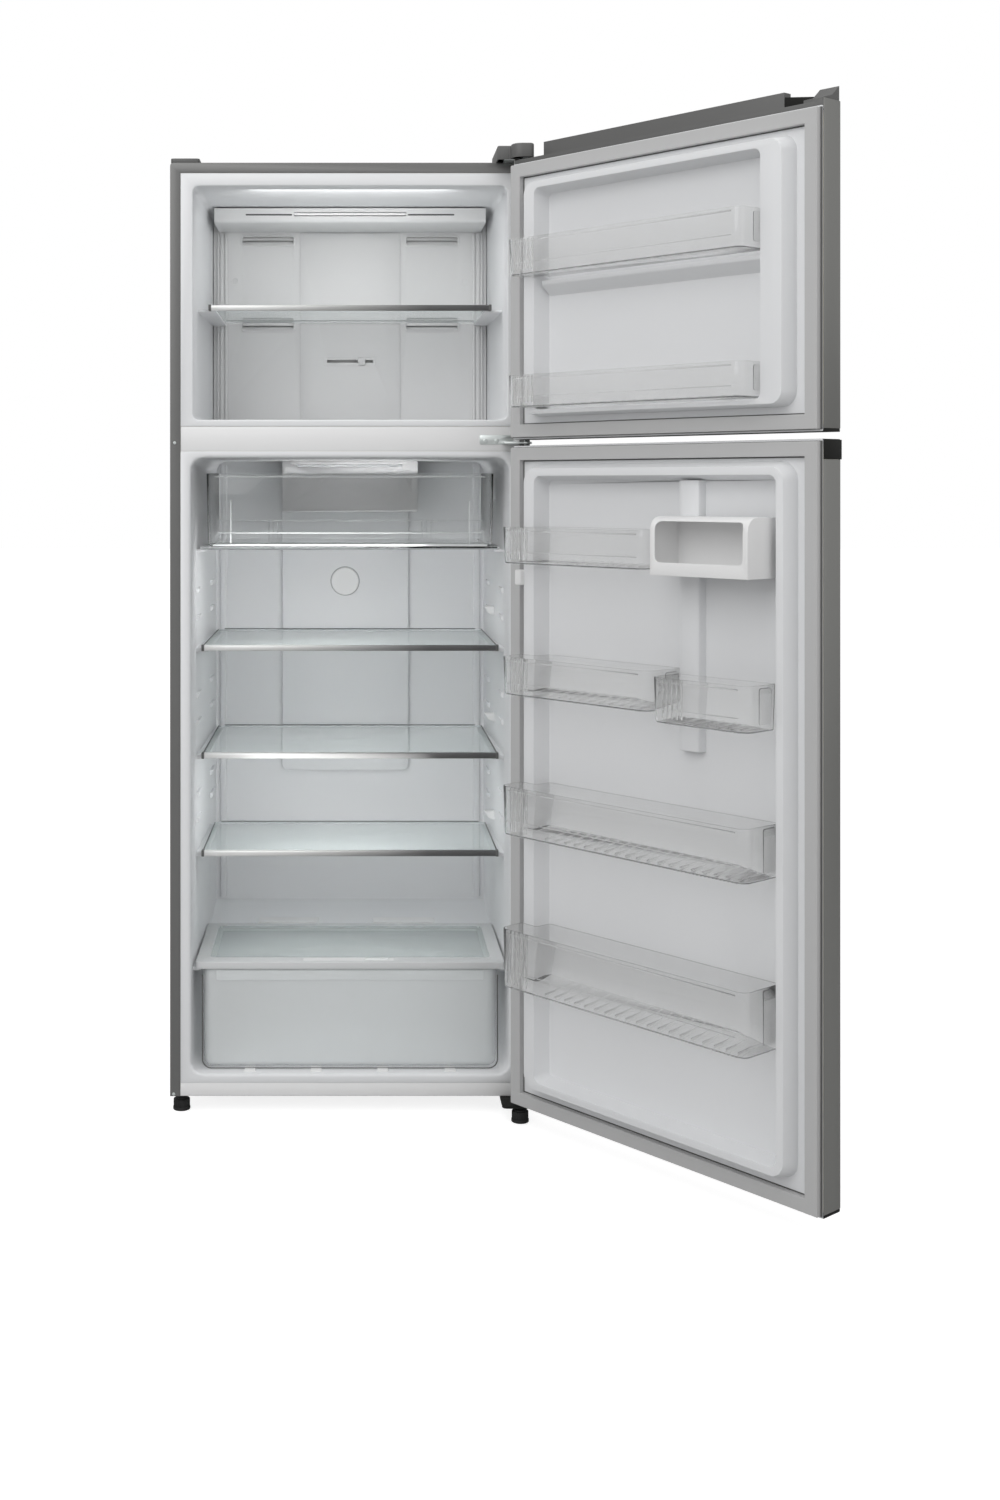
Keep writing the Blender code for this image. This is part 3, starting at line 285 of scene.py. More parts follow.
@dataclass(frozen=True)
class Brushed(Finish):
    """A metal with brush lines along one direction."""

    stretch: tuple[float, float, float] = (3.0, 700.0, 700.0)
    contrast: float = 0.2

    def dress(self, tree: Tree, shader: bpy.types.Node) -> None:
        """Set the shader up with brush lines."""
        tree.fill(shader, {"Metallic": self.metallic})
        surface = tree.add("Group", {"Colour": (*self.colour, 1.0), "Stretch": self.stretch,
                                     "Contrast": self.contrast, "Roughness": self.roughness},
                           node_tree=shared(brushed_lines))
        self.plug(tree, shader, surface, self.grain_depth)


@dataclass(frozen=True)
class Clear(Finish):
    """A see-through plastic or glass, which lets light through to what stands behind it."""

    index: float = 1.45
    shadow: float = 0.12
    clearness: float = 1.0
    gloss_change: float = 0.02

    def dress(self, tree: Tree, shader: bpy.types.Node) -> None:
        """Set the shader up to transmit light, with a light shadow."""
        surface = tree.add("Group", {"Colour": (*self.colour, 1.0), "Mottle": self.mottle,
                                     "Roughness": self.roughness,
                                     "Gloss Change": self.gloss_change},
                           node_tree=shared(moulded_grain))
        shadow_ray = tree.add("LightPath").outputs["Is Shadow Ray"]
        tree.fill(shader, {"Base Color": surface.outputs["Colour"],
                           "Roughness": surface.outputs["Roughness"],
                           "Transmission Weight": self.clearness, "IOR": self.index,
                           "Alpha": tree.ramp(shadow_ray, 1.0, self.shadow)})


@dataclass(frozen=True)
class PaintedShade(Finish):
    """A satin metal with painted shade: its colour falls from light at one end to dark at the
    other, standing in for a side light's reflection in it.
    """

    # The colour of the painted shade's dark end.
    far: tuple[float, float, float] = (0.2, 0.2, 0.2)
    ends: tuple[float, float] = (-0.5, -0.07)

    def dress(self, tree: Tree, shader: bpy.types.Node) -> None:
        """Set the shader up with painted shade that runs from light to dark along X."""
        super().dress(tree, shader)
        where = tree.add("SeparateXYZ", {"Vector": tree.add("TexCoord").outputs["Object"]})
        run = tree.add("MapRange", {"Value": where.outputs["X"], "From Min": self.ends[0],
                                    "From Max": self.ends[1]})
        blend = tree.add("Mix", {0: run.outputs["Result"], 6: (*self.colour, 1.0),
                                 7: (*self.far, 1.0)}, data_type="RGBA")
        surface = shader.inputs["Base Color"].links[0].from_node
        tree.fill(surface, {"Colour": blend.outputs[2]})


@dataclass(frozen=True)
class Backdrop(Finish):
    """A floor that shows white to the camera without lighting the object from below."""

    glow: float = 0.8

    def dress(self, tree: Tree, shader: bpy.types.Node) -> None:
        """Set the shader up to glow for camera rays only."""
        super().dress(tree, shader)
        camera_ray = tree.add("LightPath").outputs["Is Camera Ray"]
        tree.fill(shader, {"Emission Color": WHITE,
                           "Emission Strength": tree.ramp(camera_ray, 0.0, self.glow)})


@dataclass(frozen=True)
class Lamp(Finish):
    """A lit lamp lens."""

    glow: float = 3.0

    def dress(self, tree: Tree, shader: bpy.types.Node) -> None:
        """Set the shader up to glow."""
        super().dress(tree, shader)
        tree.fill(shader, {"Emission Color": WHITE, "Emission Strength": self.glow})


CASE_PAINT = Finish("case_paint", "shell_steel", (0.185, 0.185, 0.182), 0.42, 0.35, 0.06,
                    0.00003, 1400.0)
DOOR_STEEL = Brushed("door_steel", "door_steel", (0.44, 0.44, 0.425), 0.34, 0.75,
                     grain_depth=0.000004)
GALVANISED = Finish("galvanised_sheet", "galvanised", (0.5, 0.52, 0.53), 0.38, 0.85, 0.22,
                    0.00001, 300.0)
ZINC = Finish("zinc_plate", "zinc", (0.74, 0.78, 0.77), 0.3, 0.85, 0.1, 0.00001, 500.0)
LINER = Finish("liner_white", "liner_white", (0.84, 0.845, 0.845), 0.32, 0.0, 0.015,
               0.000006, 500.0)
TRIM = Finish("trim_white", "trim_white", (0.85, 0.85, 0.85), 0.42, 0.0, 0.02, 0.00001, 1200.0)
FASCIA = Finish("fascia_white", "trim_white", (0.84, 0.84, 0.84), 0.45, 0.0, 0.02,
                0.00001, 1200.0)
COVER = Finish("cover_white", "trim_white", (0.66, 0.67, 0.675), 0.4, 0.0, 0.02,
               0.00001, 1200.0)
GASKET = Finish("gasket_grey", "gasket_grey", (0.47, 0.47, 0.465), 0.55, 0.0, 0.05,
                0.00002, 1500.0)
# Also gives the black block of painted shade in the freezer cap's grip recess.
BLACK = Finish("moulded_black", "cap_black", (0.016, 0.016, 0.015), 0.5, 0.0, 0.1,
               0.00003, 1500.0, specular=0.15)
# Also gives dark pieces of painted shade: the gasket frames, the lamp housing's slot plates and the
# crisper's edge strip.
DARK_GREY = Finish("moulded_dark_grey", "cap_grey", (0.115, 0.115, 0.113), 0.48, 0.0, 0.06,
                   0.00003, 1500.0)
FOAM = Finish("foam", "foam", (0.82, 0.75, 0.52), 0.9, 0.0, 0.2, 0.0003, 300.0)
COIL = Finish("coil_metal", "coil_metal", (0.6, 0.61, 0.62), 0.35, 0.9, 0.1)
ENAMEL = Finish("black_enamel", "compressor_black", (0.02, 0.02, 0.02), 0.28, 0.2, 0.1)
RUBBER = Finish("black_rubber", "rubber_black", (0.016, 0.016, 0.016), 0.7, 0.0, 0.2, 0.00005)
# The shelf trims' fall from light at the left to dark at the right is painted shade, not a colour
# of the metal.
SATIN_PAINTED_SHADE = PaintedShade("satin_aluminium_painted_shade", "satin_metal", (0.84, 0.84, 0.83), 0.32, 0.35, 0.04,
               0.000003, 600.0, far=(0.11, 0.11, 0.11))
CLEAR = Clear("clear_plastic", "clear", (0.985, 0.988, 0.987), 0.02, mottle=0.01, index=1.35)
BIN_CLEAR = Clear("bin_plastic", "clear", (0.985, 0.986, 0.985), 0.03, mottle=0.01,
                  index=1.38, clearness=0.95)
FROSTED = Clear("frosted_plastic", "clear", (0.93, 0.95, 0.955), 0.16, mottle=0.01,
                clearness=0.6)
GLASS = Clear("shelf_glass", "shelf_glass", (0.93, 0.965, 0.96), 0.01, mottle=0.0, index=1.5)
# Pale plastic for the humidity slider, and the painted highlights on the chiller drawer's edges.
PALE_PLASTIC_AND_HIGHLIGHT = Finish("pale_plastic_and_edge_highlight", "clear", (0.84, 0.86, 0.86), 0.2, 0.0, 0.02,
                  0.000004, 500.0)
LENS = Lamp("lamp_lens", "clear", (0.9, 0.9, 0.9), 0.4, glow=0.12)
# Grey for the unlit fridge lamp lens, and the painted shadow in the gap round the odour filter cap.
UNLIT_LENS_AND_GAP_SHADE = Finish("unlit_lens_and_gap_shadow", "clear", (0.42, 0.43, 0.44), 0.25)


# ------------------------------------------------------------------ the bench
def clear_selection() -> None:
    """Leave edit mode and deselect every object."""
    if bpy.context.mode != "OBJECT":
        bpy.ops.object.mode_set(mode="OBJECT")
    bpy.ops.object.select_all(action="DESELECT")


def along(way: Way, keep: Callable[[Vector], bool] = lambda middle: True) -> Test:
    """A test for edges that run along an axis and whose middle passes keep."""
    return lambda middle, direction: abs(direction[way.value]) > 0.99 and keep(middle)


def facing(direction: Point, keep: Callable[[Vector], bool] = lambda middle: True) -> Test:
    """A test for faces that look the given way and whose middle passes keep."""
    aim = Vector(direction)
    return lambda middle, normal: normal.dot(aim) > 0.95 and keep(middle)


class Workpiece:
    """One piece on the bench, in modelling millimetres, worked with Blender's own operators."""

    def __init__(self, item: bpy.types.Object, name: str) -> None:
        """Take an object to the bench under this name."""
        self.item = item
        item.name = name
        item.data.name = name

    @classmethod
    def block(cls, name: str, low: Point, high: Point) -> "Workpiece":
        """A box between two corners."""
        clear_selection()
        low, high = Vector(low), Vector(high)
        bpy.ops.mesh.primitive_cube_add(size=1.0, location=(low + high) / 2)
        item = bpy.context.active_object
        item.scale = high - low
        bpy.ops.object.transform_apply(location=True, rotation=True, scale=True)
        return cls(item, name)

    @classmethod
    def soft(cls, name: str, low: Point, high: Point, width: float,
             segments: int = 2) -> "Workpiece":
        """A box between two corners with its edges softened."""
        return cls.block(name, low, high).soften(width, segments)

    @classmethod
    def rod(cls, name: str, centre: Point, radius: float, length: float, way: Way,
            sides: int) -> "Workpiece":
        """A cylinder on a centre point.

        Args:
            name: the piece's name.
            centre: the middle of its axis.
            radius: its radius.
            length: its length.
            way: the axis that it runs along.
            sides: the number of sides.

        Returns:
            The new workpiece.
        """
        clear_selection()
        turn = {Way.X: (0, math.pi / 2, 0), Way.Y: (math.pi / 2, 0, 0), Way.Z: (0, 0, 0)}[way]
        bpy.ops.mesh.primitive_cylinder_add(radius=radius, depth=length, vertices=sides,
                                            location=centre, rotation=turn)
        bpy.ops.object.transform_apply(location=True, rotation=True, scale=True)
        return cls(bpy.context.active_object, name)

    @classmethod
    def from_frame(cls, node: str, station: Station) -> "Workpiece":
        """A merged copy of a CAD node, brought back to modelling millimetres."""
        clear_selection()
        name = f"{node}_fine"
        item = bpy.data.objects.new(name, frame["nodes"][node].data.copy())
        bpy.context.scene.collection.objects.link(item)
        piece = cls(item, name)
        item.matrix_world = station.matrix.inverted()
        piece.activate()
        bpy.ops.object.transform_apply(location=True, rotation=True, scale=True)
        bpy.ops.object.mode_set(mode="EDIT")
        bpy.ops.mesh.select_all(action="SELECT")
        bpy.ops.mesh.remove_doubles(threshold=MERGE_DISTANCE)
        bpy.ops.mesh.dissolve_limited(angle_limit=FLAT_ANGLE)
        bpy.ops.object.mode_set(mode="OBJECT")
        return piece

    def activate(self) -> None:
        """Make this the only selected and the active object."""
        clear_selection()
        self.item.select_set(True)
        bpy.context.view_layer.objects.active = self.item

    def pick(self, kind: str, test: Test) -> int:
        """Enter edit mode with the elements of one kind that pass a test selected.

        Args:
            kind: FACE, EDGE or VERT.
            test: called with each one's middle and its normal or direction.

        Returns:
            How many were selected.
        """
        self.activate()
        bpy.ops.object.mode_set(mode="EDIT")
        bpy.ops.mesh.select_mode(type=kind)
        bpy.ops.mesh.select_all(action="DESELECT")
        bm = bmesh.from_edit_mesh(self.item.data)
        count = 0
        for part in {"FACE": bm.faces, "EDGE": bm.edges, "VERT": bm.verts}[kind]:
            if kind == "FACE":
                chosen = test(part.calc_center_median(), part.normal)
            elif kind == "EDGE":
                a, b = (vert.co for vert in part.verts)
                chosen = test((a + b) / 2, (b - a).normalized())
            else:
                chosen = test(part.co, part.normal)
            if chosen:
                part.select_set(True)
                count += 1
        bm.select_flush_mode()
        bmesh.update_edit_mesh(self.item.data)
        return count

    def leave(self) -> "Workpiece":
        """Go back to object mode."""
        bpy.ops.object.mode_set(mode="OBJECT")
        return self

    def round_edges(self, test: Test, width: float, segments: int = 3) -> "Workpiece":
        """Bevel the edges that pass a test."""
        if self.pick("EDGE", test):
            bpy.ops.mesh.bevel(offset=width, segments=segments, affect="EDGES", clamp_overlap=True)
        return self.leave()

    def inset(self, test: Test, *steps: tuple[float, float]) -> "Workpiece":
        """Inset the faces that pass a test once for each (thickness, outward depth)."""
        for thickness, depth in steps:
            if self.pick("FACE", test):
                bpy.ops.mesh.inset(thickness=thickness, depth=depth, use_boundary=True,
                                   use_even_offset=True)
            self.leave()
        return self

    def move(self, test: Test, shift: Point) -> "Workpiece":
        """Move the corners that pass a test along a vector."""
        if self.pick("VERT", test):
            bpy.ops.transform.translate(value=tuple(shift))
        return self.leave()

    def remove(self, test: Test) -> "Workpiece":
        """Delete the faces that pass a test."""
        if self.pick("FACE", test):
            bpy.ops.mesh.delete(type="FACE")
        return self.leave()

    def modify(self, kind: str, **settings) -> "Workpiece":
        """Add a modifier with these settings and apply it."""
        self.activate()
        modifier = self.item.modifiers.new(kind.lower(), kind)
        for name, value in settings.items():
            setattr(modifier, name, value)
        bpy.ops.object.modifier_apply(modifier=modifier.name)
        return self

    def wall(self, thickness: float) -> "Workpiece":
        """Give an open surface a wall that grows inwards, its faces pointing out."""
        self.activate()
        bpy.ops.object.mode_set(mode="EDIT")
        bpy.ops.mesh.select_all(action="SELECT")
        bpy.ops.mesh.normals_make_consistent(inside=False)
        bpy.ops.object.mode_set(mode="OBJECT")
        return self.modify("SOLIDIFY", thickness=thickness, offset=-1.0, use_even_offset=True,
                           use_quality_normals=True)

    def soften(self, width: float, segments: int = 2, angle: float = 50.0) -> "Workpiece":
        """Round every edge sharper than an angle in degrees."""
        return self.modify("BEVEL", width=width, segments=segments, limit_method="ANGLE",
                           angle_limit=math.radians(angle), use_clamp_overlap=True)

    def repeat(self, count: int, step: Point) -> "Workpiece":
        """Repeat the piece at a constant step."""
        return self.modify("ARRAY", count=count, use_relative_offset=False,
                           use_constant_offset=True, constant_offset_displace=tuple(step))

    def cut(self, *tools: "Workpiece") -> "Workpiece":
        """Cut other workpieces out of this one, and use them up."""
        for tool in tools:
            self.modify("BOOLEAN", operation="DIFFERENCE", solver="EXACT", object=tool.item)
            bpy.data.objects.remove(tool.item, do_unlink=True)
        return self

    def add(self, *others: "Workpiece") -> "Workpiece":
        """Join other workpieces to this one as loose parts of it."""
        if others:
            self.activate()
            for other in others:
                other.item.select_set(True)
            bpy.ops.object.join()
        return self

    def deliver(self, station: Station, finish: Finish, *nodes: str) -> bpy.types.Object:
        """Smooth the piece, carry it to its place in metres and hand it to its body.

        Args:
            station: where it was modelled and the body it rides on.
            finish: its finish.
            nodes: the CAD nodes that it stands for.

        Returns:
            The finished object.
        """
        self.item.matrix_world = station.matrix
        self.activate()
        bpy.ops.object.transform_apply(location=True, rotation=True, scale=True)
        bpy.ops.object.shade_smooth_by_angle(angle=SMOOTH_ANGLE)
        self.item.data.materials.clear()
        self.item.data.materials.append(finish.material())
        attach(self.item, station.body)
        if nodes:
            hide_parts(*nodes)
        LOG.info("%s on %s, %d faces", self.item.name, station.body, len(self.item.data.polygons))
        return self.item


def fine_copy(node: str, station: Station, finish: Finish, edge: float = 0.6,
              segments: int = 2) -> None:
    """Stand a copy of a CAD node with softened edges in for it."""
    Workpiece.from_frame(node, station).soften(edge, segments).deliver(station, finish, node)


def fine_mover(node: str, finish: Finish, edge: float = 0.6) -> None:
    """Stand a softened copy in for a CAD node that is a body of its own."""
    fine_copy(node, Station(node), finish, edge)


def keep_node(node: str, finish: Finish) -> None:
    """Give a CAD node that stays its finish."""
    item = frame["nodes"][node]
    item.data.materials.clear()
    item.data.materials.append(finish.material())


SCREW_DOME = 0.45
SLOT_LENGTH = 0.6
SLOT_HALF = 0.6


def screw(name: str, centre: Point, out: Point, station: Station, radius: float = 4.0) -> None:
    """A domed cross-head screw whose head lies on a surface.

    Args:
        name: the piece's name.
        centre: the middle of the head's seat on the surface.
        out: the direction that the head looks in, along one axis.
        station: where it stands.
        radius: the head's radius.
    """
    aim = Vector(out)
    way = Way(max(range(3), key=lambda axis: abs(aim[axis])))
    height = radius * SCREW_DOME
    head = Workpiece.rod(name, Vector(centre) + aim * height / 2, radius, height, way, 20)
    head.round_edges(lambda middle, _: (middle - Vector(centre)).dot(aim) > height * 0.9,
                     height * 0.6, 3)
    top = Vector(centre) + aim * height
    for axis in (axis for axis in range(3) if axis != way.value):
        reach = Vector((SLOT_HALF, SLOT_HALF, SLOT_HALF))
        reach[axis] = radius * SLOT_LENGTH
        reach[way.value] = height * 0.5
        head.cut(Workpiece.block("cross_slot", top - reach, top + reach))
    head.deliver(station, ZINC)


# ------------------------------------------------------------------ cabinet
@dataclass
class CabinetShell:
    """The painted case with its base panel, its front strip, its foam and its flange screws."""

    front_screws: tuple[tuple[float, float], ...] = ((-341.0, 1305.0), (-343.0, 38.5))

    def build(self) -> None:
        """Make and dress the case and what is fixed to it."""
        fine_copy("cabinet_shell", CASE, CASE_PAINT, 0.4)
        fine_copy("base_panel", CASE, FASCIA, 0.8)
        fine_copy("mullion_plate", CASE, TRIM, 0.8)
        for node in ("insulation_foam", "freezer_door_foam", "fridge_door_foam"):
            keep_node(node, FOAM)
        keep_node("evaporator_coil", COIL)
        self.blanking_cap()
        for number, (x, z) in enumerate(self.front_screws):
            screw(f"flange_screw_{number}", (x, 0.0, z), (0, -1, 0), CASE, 3.0)

    def blanking_cap(self) -> None:
        """The cap over the unused hinge holes at the top left."""
        cap = Workpiece.block("blanking_cap", (-349, 2, 1850.3), (-293, 90, 1859))
        cap.round_edges(along(Way.Z), 7.0, 4)
        cap.inset(facing((0, 0, 1)), (3.0, 0.0), (1.0, -1.2))
        cap.soften(1.2, 2, 40).deliver(CASE, DARK_GREY)


@dataclass
class BackSide:
    """The back sheet with its pressed panels, the slotted machine cover and the compressor."""

    face: float = 639.2
    pressed_to: float = 638.7
    pressings: tuple[tuple[float, float], ...] = ((330.0, 780.0), (830.0, 1280.0), (1330.0, 1780.0))

    def build(self) -> None:
        """Make and dress the back of the cabinet."""
        self.back_sheet()
        Workpiece.from_frame("machine_cover", CASE).deliver(CASE, GALVANISED, "machine_cover")
        fine_copy("compressor", CASE, ENAMEL, 1.0)
        fine_copy("power_inlet", CASE, BLACK, 0.6)
        for side in SIDES:
            letter = side_name(side)[0]
            for z in range(330, 1781, 290):
                screw(f"back_screw_{letter}_{z}", (side * 338, self.face, z), (0, 1, 0), CASE)
            for x in (110, 325):
                screw(f"cover_screw_{letter}_{x}", (side * x, self.face, 286), (0, 1, 0), CASE)

    def back_sheet(self) -> None:
        """The galvanised back, with shallow panels pressed into it."""
        sheet = Workpiece.from_frame("back_panel", CASE)
        for low, high in self.pressings:
            tool = Workpiece.block("pressing", (-290, self.pressed_to, low), (290, 645, high))
            sheet.cut(tool.round_edges(along(Way.Y), 30.0, 6))
        sheet.soften(0.25, 2, 40).deliver(CASE, GALVANISED, "back_panel")


@dataclass
class Hinges:
    """The three hinges and the cover over the top one."""

    def build(self) -> None:
        """Make and dress the hinges."""
        fine_copy("top_hinge", CASE, ZINC, 0.5)
        fine_copy("top_hinge_cover", CASE, DARK_GREY, 0.8)
        fine_copy("middle_hinge", CASE, ZINC, 0.35)
        fine_copy("lower_hinge", CASE, BLACK, 0.8)
        for x in (263.0, 285.0):
            screw(f"hinge_screw_{int(x)}", (x, -0.7, 1308.6), (0, -1, 0), CASE, 4.2)
        screw("hinge_cover_screw", (318, 70, 1877), (0, 0, 1), CASE, 4.0)


@dataclass
class Footing:
    """The two ribbed feet and the rear rollers with their brackets."""

    ribs: int = 24

    def build(self) -> None:
        """Make and dress what the refrigerator stands on."""
        self.foot("front_left_foot", 33.7)
        self.foot("front_right_foot", 28.4)
        for side in SIDES:
            self.roller(side)

    def foot(self, name: str, height: float) -> None:
        """A ribbed foot: a wide pad, a gripping drum and its stud."""
        low, high = corners(name)
        middle = CABINET.inverted() @ ((low + high) / 2)
        x, y = middle.x, middle.y
        pad = Workpiece.rod("pad", (x, y, 3), 16.9, 6, Way.Z, 48).soften(1.2, 3)
        drum = Workpiece.rod("drum", (x, y, 13), 15.2, 15, Way.Z, self.ribs * 2)
        centre = Vector((x, y, 0))
        step = math.pi / self.ribs

        def on_rib(middle: Vector, normal: Vector) -> bool:
            """Whether a side face stands on a rib."""
            arm = middle - centre
            return abs(normal.z) < 0.1 and round(math.atan2(arm.y, arm.x) / step - 0.5) % 2 == 0

        if drum.pick("FACE", on_rib):
            bpy.ops.mesh.inset(thickness=0.35, depth=0.9, use_individual=True)
        drum.leave().soften(0.3, 1)
        collar = Workpiece.rod("collar", (x, y, 22), 12.0, 3, Way.Z, 32).soften(0.6, 2)
        stud = Workpiece.rod("stud", (x, y, (20 + height) / 2), 4.9, height - 20, Way.Z, 24)
        drum.add(pad, collar, stud.soften(0.5, 1))
        Workpiece(drum.item, f"{name}_ribbed").deliver(Station(name), RUBBER, name)

    def roller(self, side: int) -> None:
        """A rear roller with a rounded tread and a hub, in its bracket."""
        name = f"rear_{side_name(side)}_roller"
        wheel = Workpiece.from_frame(name, Station(name))
        wheel.inset(lambda middle, normal: abs(normal.x) > 0.95, (3.0, -2.0))
        wheel.soften(1.0, 3, 40).deliver(Station(name), RUBBER, name)
        x = side * 322
        bracket = Workpiece.block(f"{side_name(side)}_roller_bracket",
                                  (x - 11, 583, 14), (x + 11, 613, 33.8))
        slot = Workpiece.block("fork", (x - 9, 570, 0), (x + 9, 630, 33.0))
        bracket.cut(slot).soften(0.5, 2).deliver(CASE, ZINC)


# ------------------------------------------------------------------ compartments
@dataclass
class FreezerCompartment:
    """The freezer's liner, back cover with its air vents, and overhead lamp."""

    mouth: tuple[float, float, float, float] = (-306.0, 306.0, 1350.0, 1805.0)
    vent_rows: tuple[tuple[float, float], ...] = ((1743.0, 1762.0), (1558.0, 1586.0))
    vent_reach: tuple[float, float] = (122.0, 234.0)
    fin_pitch: float = 9.4

    def build(self) -> None:
        """Make and dress the freezer compartment."""
        rounded_liner("freezer_liner", self.mouth, LINER)
        cover = Workpiece.from_frame("evaporator_cover", CASE)
        cover.soften(1.4, 3).deliver(CASE, TRIM, "evaporator_cover")
        fine_copy("freezer_light_housing", CASE, TRIM, 1.4, 3)
        fine_mover("freezer_air_slider", TRIM)
        self.vents()
        self.air_track()
        self.columns()
        self.lamp()
        self.screw_covers()
        fine_mover("evaporator_fan", BLACK, 0.5)

    def vents(self) -> None:
        """A rim round each vent and the fins inside it."""
        for side in SIDES:
            x0, x1 = span(side, *self.vent_reach)
            for low, high in self.vent_rows:
                label = f"{side_name(side)}_{int(low)}"
                rim = Workpiece.block(f"vent_rim_{label}",
                                      (x0 - 3, 395.4, low - 3), (x1 + 3, 397.8, high + 3))
                hole = Workpiece.block("hole", (x0 + 0.5, 390, low + 0.5),
                                       (x1 - 0.5, 405, high - 0.5))
                self.ring(rim, 6.0, hole, 4.0, 4).soften(0.7, 2).deliver(CASE, TRIM)
                count = round((high - low) / self.fin_pitch)
                pitch = (high - low) / count
                fin = Workpiece.block(f"vent_fins_{label}",
                                      (x0 + 0.3, 398.8, low + 1), (x1 - 0.3, 400.0, low + pitch))
                fin.move(lambda point, _: point.z > low + 2, (0, 4.5, 0)).soften(0.4, 1)
                fin.repeat(count, (0, 0, pitch)).deliver(CASE, TRIM)

    @staticmethod
    def ring(rim: Workpiece, outer: float, hole: Workpiece, inner: float, steps: int) -> Workpiece:
        """A rim with its hole cut through, both rounded at the corners by these radii."""
        rim.round_edges(along(Way.Y), outer, steps)
        return rim.cut(hole.round_edges(along(Way.Y), inner, steps))

    def air_track(self) -> None:
        """The track behind the air slider and the rim round it."""
        track = Workpiece.soft("air_slider_track", (-54, 406.6, 1483), (54, 408.2, 1499), 0.5)
        track.deliver(CASE, TRIM)
        rim = Workpiece.block("air_slider_rim", (-57, 393.2, 1481), (57, 394.2, 1501))
        hole = Workpiece.block("hole", (-55.4, 390, 1482.4), (55.4, 397, 1499.6))
        self.ring(rim, 2.5, hole, 1.6, 3).soften(0.3, 2).deliver(CASE, TRIM)

    def columns(self) -> None:
        """The grooved columns down both sides of the back cover."""
        for side in SIDES:
            x0, x1 = span(side, 266, 288)
            column = Workpiece.block(f"freezer_column_{side_name(side)}",
                                     (x0, 391, 1353), (x1, 397.6, 1768))
            column.round_edges(along(Way.Z, lambda middle: middle.y < 394), 2.4, 3)
            for x in (x0 + 6, x1 - 6):
                column.cut(Workpiece.block("groove", (x - 1.3, 385, 1350), (x + 1.3, 395.4, 1770)))
            column.soften(0.4, 2).deliver(CASE, TRIM)

    def lamp(self) -> None:
        """The lit lens in the overhead housing, with a dark plate at each end that paints the shade
        in a slot.
        """
        lens = Workpiece.soft("freezer_lamp_lens", (-116.5, 255.6, 1786.8),
                              (116.5, 258.6, 1791.6), 0.8)
        lens.deliver(CASE, LENS)
        for side in SIDES:
            # Painted shade: a thin dark plate stands for the shade inside each slot.
            x0, x1 = span(side, 121, 218)
            slot = Workpiece.block(f"housing_slot_{side_name(side)}",
                                   (x0, 254.2, 1786.2), (x1, 255.2, 1789.4))
            slot.round_edges(along(Way.Y), 1.4, 3).soften(0.2, 1).deliver(CASE, DARK_GREY)

    def screw_covers(self) -> None:
        """The small round covers over the back cover's screws."""
        for side in SIDES:
            cap = Workpiece.rod(f"screw_cover_{side_name(side)}", (side * 250, 397.1, 1665),
                                7.0, 1.6, Way.Y, 32)
            cap.inset(facing((0, -1, 0)), (1.6, 0.0), (0.6, -0.7))
            cap.soften(0.3, 2).deliver(CASE, TRIM)


def rounded_liner(node: str, mouth: tuple[float, float, float, float], finish: Finish) -> None:
    """A compartment liner with the edge of its mouth rounded.

    Args:
        node: the CAD node that it is made from.
        mouth: the mouth's left, right, bottom and top.
        finish: its finish.
    """
    left, right, bottom, top = mouth

    def on_mouth(middle: Vector, _: Vector) -> bool:
        """Whether an edge lies on the mouth's outline, on the flange's front face."""
        inside = left - 1 < middle.x < right + 1 and bottom - 1 < middle.z < top + 1
        return inside and middle.y < 0.6

    liner = Workpiece.from_frame(node, CASE)
    liner.round_edges(on_mouth, 6.0, 5)
    liner.soften(0.7, 2, 55).deliver(CASE, finish, node)


